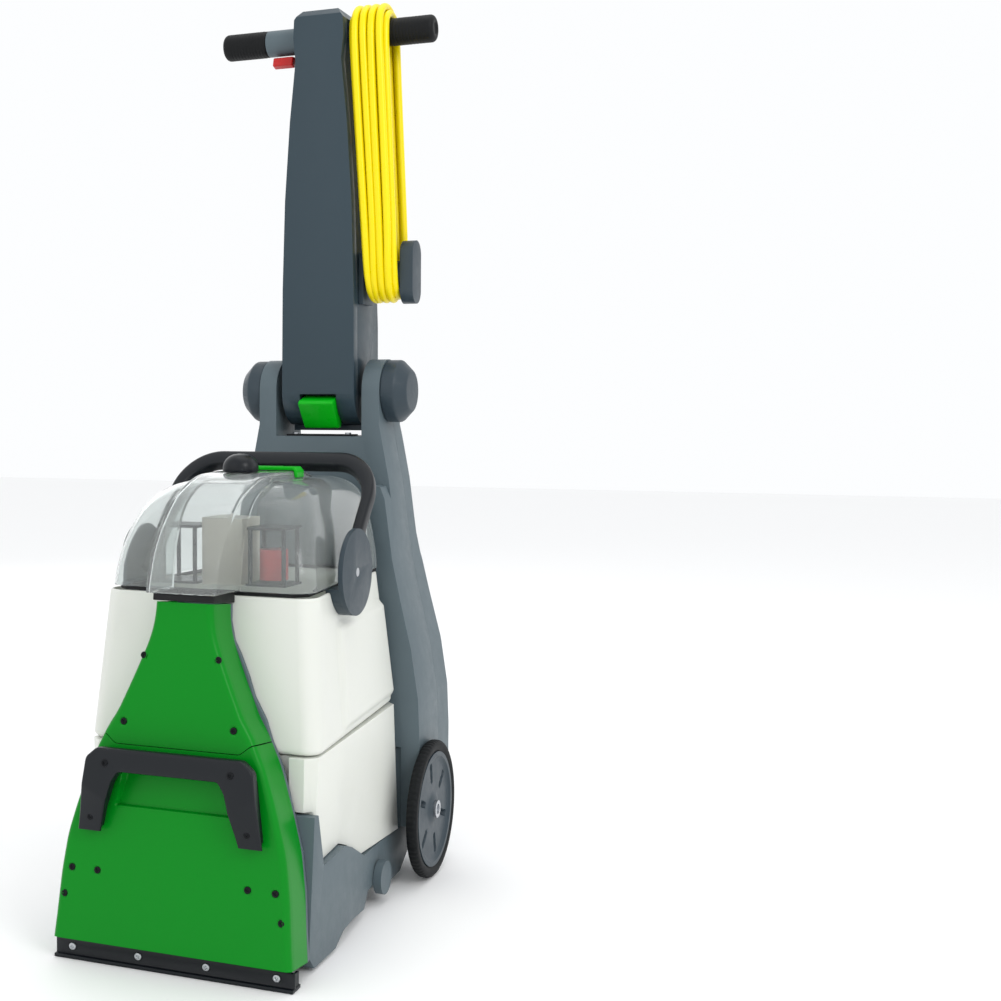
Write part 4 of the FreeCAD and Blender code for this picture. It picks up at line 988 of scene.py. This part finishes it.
@dataclass
class Bail:
    """Carry bail: a bowed bar of rounded section that thickens towards its grip."""

    pivot: tuple[float, float] = (194.0, 411.0)
    lean: float = math.radians(41.7)
    reach: float = 159.0

    def path(self) -> tuple[Points, Points]:
        """Middle line in the bail's own plane, and how far along the bow each point is.

        Returns:
            Array (n, 3) of points before the lean, and array (n,) that is 0 on the arms and 1 on the grip.
        """
        arm = np.linspace(-8, 100, 14)
        bow = np.linspace(0, math.pi / 2, 22)[1:]
        x = np.concatenate([np.full(14, 124.6), 76 + 48.6 * np.cos(bow), np.linspace(70, 0, 12)])
        z = np.concatenate([arm, 100 + (self.reach - 100) * np.sin(bow), np.full(12, self.reach)])
        grip = smoothstep(90, self.reach, z)
        half = np.stack([x, np.zeros_like(x), z], axis=-1)
        other = half[-2::-1] * np.array([-1.0, 1.0, 1.0])
        return np.concatenate([half, other]), np.concatenate([grip, grip[-2::-1]])

    def build(self) -> None:
        """Make the bail and lean it back about its pivot."""
        path, grip = self.path()
        angle = np.linspace(0, 2 * math.pi, 28, endpoint=False)
        round_in = np.sign(np.cos(angle)) * np.abs(np.cos(angle)) ** 0.55
        round_up = np.sign(np.sin(angle)) * np.abs(np.sin(angle)) ** 0.55
        thick = 6.6 + 4.2 * grip
        deep = 8.6 + 0.3 * grip
        way = np.gradient(path, axis=0)
        way /= np.linalg.norm(way, axis=1, keepdims=True)
        side = np.cross(way, np.array([0.0, 1.0, 0.0]))
        ring = path[:, None, :] + side[:, None, :] * (thick[:, None] * round_in[None, :])[..., None]
        ring[..., 1] += deep[:, None] * round_up[None, :]
        y = ring[..., 1] * math.cos(self.lean) + ring[..., 2] * math.sin(self.lean)
        z = ring[..., 2] * math.cos(self.lean) - ring[..., 1] * math.sin(self.lean)
        points = np.stack([ring[..., 0], y + self.pivot[0], z + self.pivot[1]], axis=-1)
        piece = Patchwork("bail_bar").add_grid(points).piece()
        stand_in(piece, "bail", "bail", Finish.BLACK)


# ---- wheels, screws, brush and grips --------------------------------------------------------------------


@dataclass
class Wheels:
    """Two wheels: a ribbed tyre on a dished hub with sunk slots."""

    place: float = 424.0
    radius: float = 86.5
    face: float = 162.0
    width: float = 14.0
    bead: float = 72.5
    slots: int = 6
    ribs: int = 72

    def tyre(self, side: int) -> Piece:
        """Tyre with cross ribs: the tread's radius falls by a groove's depth between ribs."""
        inner = self.face - self.width
        bend = np.linspace(0, math.pi / 2, 6)
        x = np.concatenate([
            [inner + 2, inner], inner + 5 - 5 * np.cos(bend), self.face - 5 + 5 * np.sin(bend),
            [self.face, self.face - 2.4],
        ])
        radius = np.concatenate([
            [self.bead, self.bead + 4], self.radius - 5 + 5 * np.sin(bend), self.radius - 5 + 5 * np.cos(bend),
            [self.bead + 5, self.bead],
        ])
        points = turned(np.stack([x * side, radius], axis=-1), self.place, self.radius, 432)
        turn = np.linspace(0, 2 * math.pi, 432, endpoint=False)[:, None]
        groove = 0.8 * (np.cos(turn * self.ribs) > 0.3) * (radius > self.radius - 2.0)[None, :]
        away = points - np.array([0.0, self.place, self.radius])
        away[..., 0] = 0.0
        points = points - away / np.linalg.norm(away, axis=-1, keepdims=True) * groove[..., None]
        name = "left" if side > 0 else "right"
        return Patchwork(f"tyre_ribbed_{name}").add_grid(points, wrap_rows=True).piece()

    def hub(self, side: int) -> Piece:
        """Dished hub: on its face, slots sink where the distance to a slot's middle line is small."""
        face = self.face
        rings = np.linspace(24, 62, 20)
        x = np.concatenate([[face - 8, face - 1, face - 1, face - 4], np.full(20, face - 4.5),
                            [face - 3, face - 0.8, face - 0.8, face - 9, face - 10, face - 12, face - 12]])
        rim = self.bead - 0.2
        radius = np.concatenate([[6.45, 6.45, 14, 19], rings, [65, 67, rim, rim, 66, 60, 22]])
        count = 288
        points = turned(np.stack([x, radius], axis=-1), self.place, self.radius, count)
        turn = np.linspace(0, 2 * math.pi, count, endpoint=False)[:, None]
        pitch = 2 * math.pi / self.slots
        near = (turn + 0.35 + pitch / 2) % pitch - pitch / 2
        across = np.abs(near) * radius[None, :]
        along = np.maximum(np.abs(radius[None, :] - 47.0) - 9.0, 0.0)
        slot = 1.0 - smoothstep(2.8, 4.4, np.hypot(across, along))
        on_face = ((radius >= 23.9) & (radius <= 62.1))[None, :]
        points[..., 0] -= 5.5 * slot * on_face
        points[..., 0] *= side
        name = "left" if side > 0 else "right"
        return Patchwork(f"hub_{name}").add_grid(points, wrap_rows=True).piece()

    def build(self) -> None:
        """Make both wheels."""
        for side, name in ((1, "left"), (-1, "right")):
            made = (
                (self.tyre(side), f"tyre_{name}", "tyre_rubber", Finish.TYRE),
                (self.hub(side), f"wheel_hub_{name}", "hub_plastic", Finish.CHARCOAL),
            )
            for piece, node, slot, finish in made:
                stand_in(piece, f"wheel_{name}", node, finish, 45)


@dataclass
class PortCap:
    """Domed cap of the hose port with two shallow finger scallops."""

    place: float = 180.0
    low: float = 521.6
    radius: float = 21.0

    def build(self) -> None:
        """Turn the dome about its upright axis: its radius dips by a cosine of twice the angle."""
        share = np.linspace(0, math.pi / 2, 14)
        dome = np.stack([self.radius * np.cos(share) ** 0.8 + 0.001, 4.0 + 17.0 * np.sin(share)], axis=-1)
        section = np.concatenate([[(14.5, 6.0), (14.5, 0.0), (19.5, 0.0), (self.radius, 1.2)], dome])
        turn = np.linspace(0, 2 * math.pi, 72, endpoint=False)[:, None]
        dip = 1.0 - 0.07 * np.clip(np.cos(2 * turn), 0, 1) ** 2 * (section[None, :, 1] > 1.0)
        radius = section[None, :, 0] * dip
        points = np.stack([
            radius * np.cos(turn), self.place + radius * np.sin(turn),
            np.broadcast_to(self.low + section[None, :, 1], radius.shape),
        ], axis=-1)
        piece = Patchwork("port_cap_dome").add_grid(points.transpose(1, 0, 2)).piece()
        stand_in(piece, "port_cap", "port_cap", Finish.BLACK)


@dataclass
class Screws:
    """Pan-head screws with a cross recess: a low dome whose height falls inside the cross."""

    steps: int = 24

    def head(self, radius: float, height: float) -> Points:
        """Head in its own frame: rings of x, y and a height along the third axis.

        Args:
            radius: Radius of the head in millimetres.
            height: Height of the head.

        Returns:
            Array (rings, steps, 3).
        """
        share = np.array([1.0, 1.0, 0.97, 0.9, 0.75, 0.55, 0.42, 0.3, 0.2, 0.12, 0.04])[:, None]
        level = np.array([0.0, 0.35, 0.6, 0.8, 0.92, 0.98, 1.0, 1.0, 1.0, 1.0, 1.0])[:, None] * height
        turn = np.linspace(0, 2 * math.pi, self.steps, endpoint=False)[None, :]
        x, y = share * radius * np.cos(turn), share * radius * np.sin(turn)
        short, long = np.minimum(np.abs(x), np.abs(y)), np.maximum(np.abs(x), np.abs(y))
        arm = (short < 0.13 * radius) & (long < 0.5 * radius)
        z = np.broadcast_to(level, x.shape) - 0.45 * height * arm
        return np.stack([x, y, z], axis=-1)

    def field(self, name: str, places: Sequence[tuple[float, float, float]], radius: float, height: float,
              leaned: bool) -> Piece:
        """One piece of all heads that face forwards.

        Args:
            name: The piece's name.
            places: Grid place of each head's seat.
            radius: Radius of a head.
            height: Height of a head.
            leaned: True if the places belong to the leaning front group.

        Returns:
            The piece.
        """
        patch = Patchwork(name)
        head = self.head(radius, height)
        for index, (x, y, z) in enumerate(places):
            turn = 0.7 * index
            across = head[..., 0] * math.cos(turn) - head[..., 1] * math.sin(turn)
            up = head[..., 0] * math.sin(turn) + head[..., 1] * math.cos(turn)
            points = np.stack([x + across, y - head[..., 2], z + up], axis=-1)
            patch.add_grid(GRID.leaned(points) if leaned else points)
        return patch.piece(False)

    def build(self) -> None:
        """Make the heads of the lip's and the covers' screws."""
        lip = self.field("lip_screw_heads", [(x, 0.1, 12) for x in (-120, -40, 40, 120)], 4.2, 1.6, False)
        stand_in(lip, "base", "lip_screws", Finish.STEEL)
        seats = ((43.8, 1.3, 334), (64.5, 1.3, 262), (88, 1.3, 101), (119, 1.3, 101), (127, 1.3, 72),
                 (73, -22.0, 219), (91, -14.5, 160))
        places = [(x * side, y, z) for x, y, z in seats for side in (1, -1)]
        covers = self.field("cover_screw_heads", places, 3.8, 1.4, True)
        stand_in(covers, "base", "cover_screws", Finish.DARK_STEEL)


@dataclass
class BrushTufts:
    """Nylon tufts in six twisted rows on the brush core."""

    place: float = 86.0
    height: float = 33.5
    core: float = 17.0
    tip: float = 32.3
    rows: int = 6
    per_row: int = 30

    def build(self) -> None:
        """Make every tuft as a small six-sided bundle that opens towards its tip."""
        count = self.rows * self.per_row
        index = np.arange(count)
        x = -102 + 214 * (index % self.per_row) / (self.per_row - 1)
        turn = 2 * math.pi * (index // self.per_row) / self.rows + x * 0.012
        ring = np.linspace(0, 2 * math.pi, 6, endpoint=False)
        shares = np.array([0.0, 0.55, 0.93, 1.0])
        radii = np.array([1.7, 2.1, 2.6, 1.9])
        reach = self.core - 0.5 + (self.tip - self.core + 0.5) * shares
        out = np.stack([np.zeros(count), np.cos(turn), np.sin(turn)], axis=-1)
        side = np.stack([np.zeros(count), -np.sin(turn), np.cos(turn)], axis=-1)
        base = np.stack([x, np.full(count, self.place), np.full(count, self.height)], axis=-1)
        points = (base[:, None, None, :] + out[:, None, None, :] * reach[None, :, None, None]
                  + side[:, None, None, :] * (radii[None, :, None] * np.cos(ring)[None, None, :])[..., None])
        points[..., 0] += (radii[None, :, None] * np.sin(ring)[None, None, :])
        patch = Patchwork("brush_tufts")
        for tuft in points:
            patch.add_grid(tuft)
        piece = patch.piece(False)
        stand_in(piece, "brush", "brush_bristles", Finish.BRISTLE)


@dataclass
class Grips:
    """Moulded grips on both ends of the handlebar, with fine rings and a dimpled end."""

    place: float = 459.0
    height: float = 1070.0
    start: float = 82.2
    end: float = 144.0
    radius: float = 17.0

    def build(self) -> None:
        """Make both grips in one piece."""
        patch = Patchwork("grips_ringed")
        x = np.linspace(self.start + 4, self.end - 10, 90)
        wave = 0.35 * (np.cos((x - self.start) * 2 * math.pi / 4.4) > 0.55)
        body = np.stack([x, self.radius - wave], axis=-1)
        bend = np.linspace(0, math.pi / 2, 7)
        near = np.array([
            (self.start, 11.2), (self.start, self.radius - 2), (self.start + 1.5, self.radius - 0.3),
        ])
        far = np.stack([self.end - 6 + 6 * np.sin(bend), self.radius - 6 + 6 * np.cos(bend)], axis=-1)
        dimple = np.array([(self.end, 8.0), (self.end - 1.6, 6.5), (self.end - 2.0, 0.6)])
        section = np.concatenate([near, body, far, dimple])
        for side in (1, -1):
            points = turned(section * np.array([side, 1.0]), self.place, self.height, 64)
            patch.add_grid(points.transpose(1, 0, 2))
        piece = patch.piece()
        stand_in(piece, "handle", "grips", Finish.GRIP)


# ---- carried CAD nodes ----------------------------------------------------------------------------------


@dataclass
class CarriedParts:
    """CAD nodes that keep their shape and take a finish."""

    def build(self) -> None:
        """Dress every node."""
        finishes = {
            Finish.BASE_GREY: ("base_tray", "duct_back", "frame_front", "frame_back", "collars",
                               "roller_left", "roller_right"),
            Finish.SHELL_GREEN: ("cover_lower", "cover_upper"),
            Finish.ACCENT_GREEN: ("release_latch", "lid_latch"),
            Finish.COLUMN_SLATE: ("column_front", "column_rear"),
            Finish.TANK_WHITE: ("tank_lower", "tank_upper"),
            Finish.BLACK: ("bottom_cover", "brush_roll", "water_pump", "nozzle_lip",
                           "front_handle", "vacuum_fan", "tank_valve", "port_cap", "float_cages", "bail"),
            Finish.CHARCOAL: ("wheel_hub_left", "wheel_hub_right", "fold_bosses", "cord_hook", "bail_covers"),
            Finish.GRIP: ("grips", "cord_strain_relief", "power_plug"),
            Finish.TYRE: ("tyre_left", "tyre_right"),
            Finish.SEAL: ("drive_belt", "duct_top_seal", "lid_gasket"),
            Finish.RED: ("trigger", "power_switch", "float"),
            Finish.FROST: ("baffle_box",),
            Finish.BRISTLE: ("brush_bristles",),
            Finish.STEEL: ("base_screws", "motor_pulley", "push_nuts", "axles", "lip_screws", "fold_pin",
                           "handlebar", "latch_linkage", "bail_pins"),
            Finish.DARK_STEEL: ("cover_screws", "catch_plate"),
            Finish.MOTOR: ("brush_motor", "vacuum_motor"),
            Finish.BRASS: ("plug_prongs",),
            Finish.CLEAR: ("lid",),
            Finish.CORD: ("cord_hank", "cord_lead"),
        }
        for finish, names in finishes.items():
            for name in names:
                dress(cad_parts[name], SHELF.get(finish))


@dataclass(frozen=True)
class SoftEdge:
    """One moulded node that gets real rounded edges."""

    node: str
    body: str
    slot: str
    finish: Finish
    width: float
    segments: int = 3


@dataclass
class MouldedParts:
    """CAD nodes whose edges are rounded as a mould rounds them."""

    parts: tuple[SoftEdge, ...] = (
        SoftEdge("tank_lower", "tank", "tank_white", Finish.TANK_WHITE, 5.0, 4),
        SoftEdge("duct_back", "base", "base_grey", Finish.BASE_GREY, 1.2),
        SoftEdge("base_tray", "base", "base_grey", Finish.BASE_GREY, 1.5),
        SoftEdge("frame_front", "base", "base_grey", Finish.BASE_GREY, 2.5),
        SoftEdge("nozzle_lip", "base", "black_plastic", Finish.BLACK, 0.6, 2),
        SoftEdge("fold_bosses", "base", "black_plastic", Finish.CHARCOAL, 2.0),
        SoftEdge("duct_top_seal", "base", "black_rubber", Finish.SEAL, 1.2),
        SoftEdge("column_front", "handle", "column_slate", Finish.COLUMN_SLATE, 4.0),
        SoftEdge("column_rear", "handle", "column_slate", Finish.COLUMN_SLATE, 4.0),
        SoftEdge("cord_hook", "handle", "black_plastic", Finish.CHARCOAL, 2.5),
        SoftEdge("release_latch", "release_latch", "accent_green", Finish.ACCENT_GREEN, 2.0),
        SoftEdge("lid_latch", "lid_latch", "accent_green", Finish.ACCENT_GREEN, 1.0),
        SoftEdge("trigger", "trigger", "trigger_red", Finish.RED, 2.0),
        SoftEdge("power_switch", "power_switch", "trigger_red", Finish.RED, 1.0),
        SoftEdge("bail_covers", "tank", "base_grey", Finish.CHARCOAL, 1.5),
    )

    def build(self) -> None:
        """Round and dress each node."""
        for part in self.parts:
            piece = softened(part.node, part.width, part.segments)
            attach(piece, part.body)
            dress(piece, SHELF.get(part.finish))
            LOG.info("%s: %d faces", piece.name, len(piece.data.polygons))


def main() -> None:
    """Build the studio, the cord and every piece in order."""
    logging.basicConfig(level=logging.INFO, format="%(name)s %(message)s")
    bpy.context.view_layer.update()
    Studio().build()
    PowerCord().build()
    CarriedParts().build()
    MouldedParts().build()
    makers = (
        RecoveryTank(), DuctCovers(), CarryHandle(), ClearLid(), PortCap(), Bail(), Wheels(), Screws(),
        BrushTufts(), Grips(),
    )
    for maker in makers:
        maker.build()


if __name__ == "__main__":
    main()
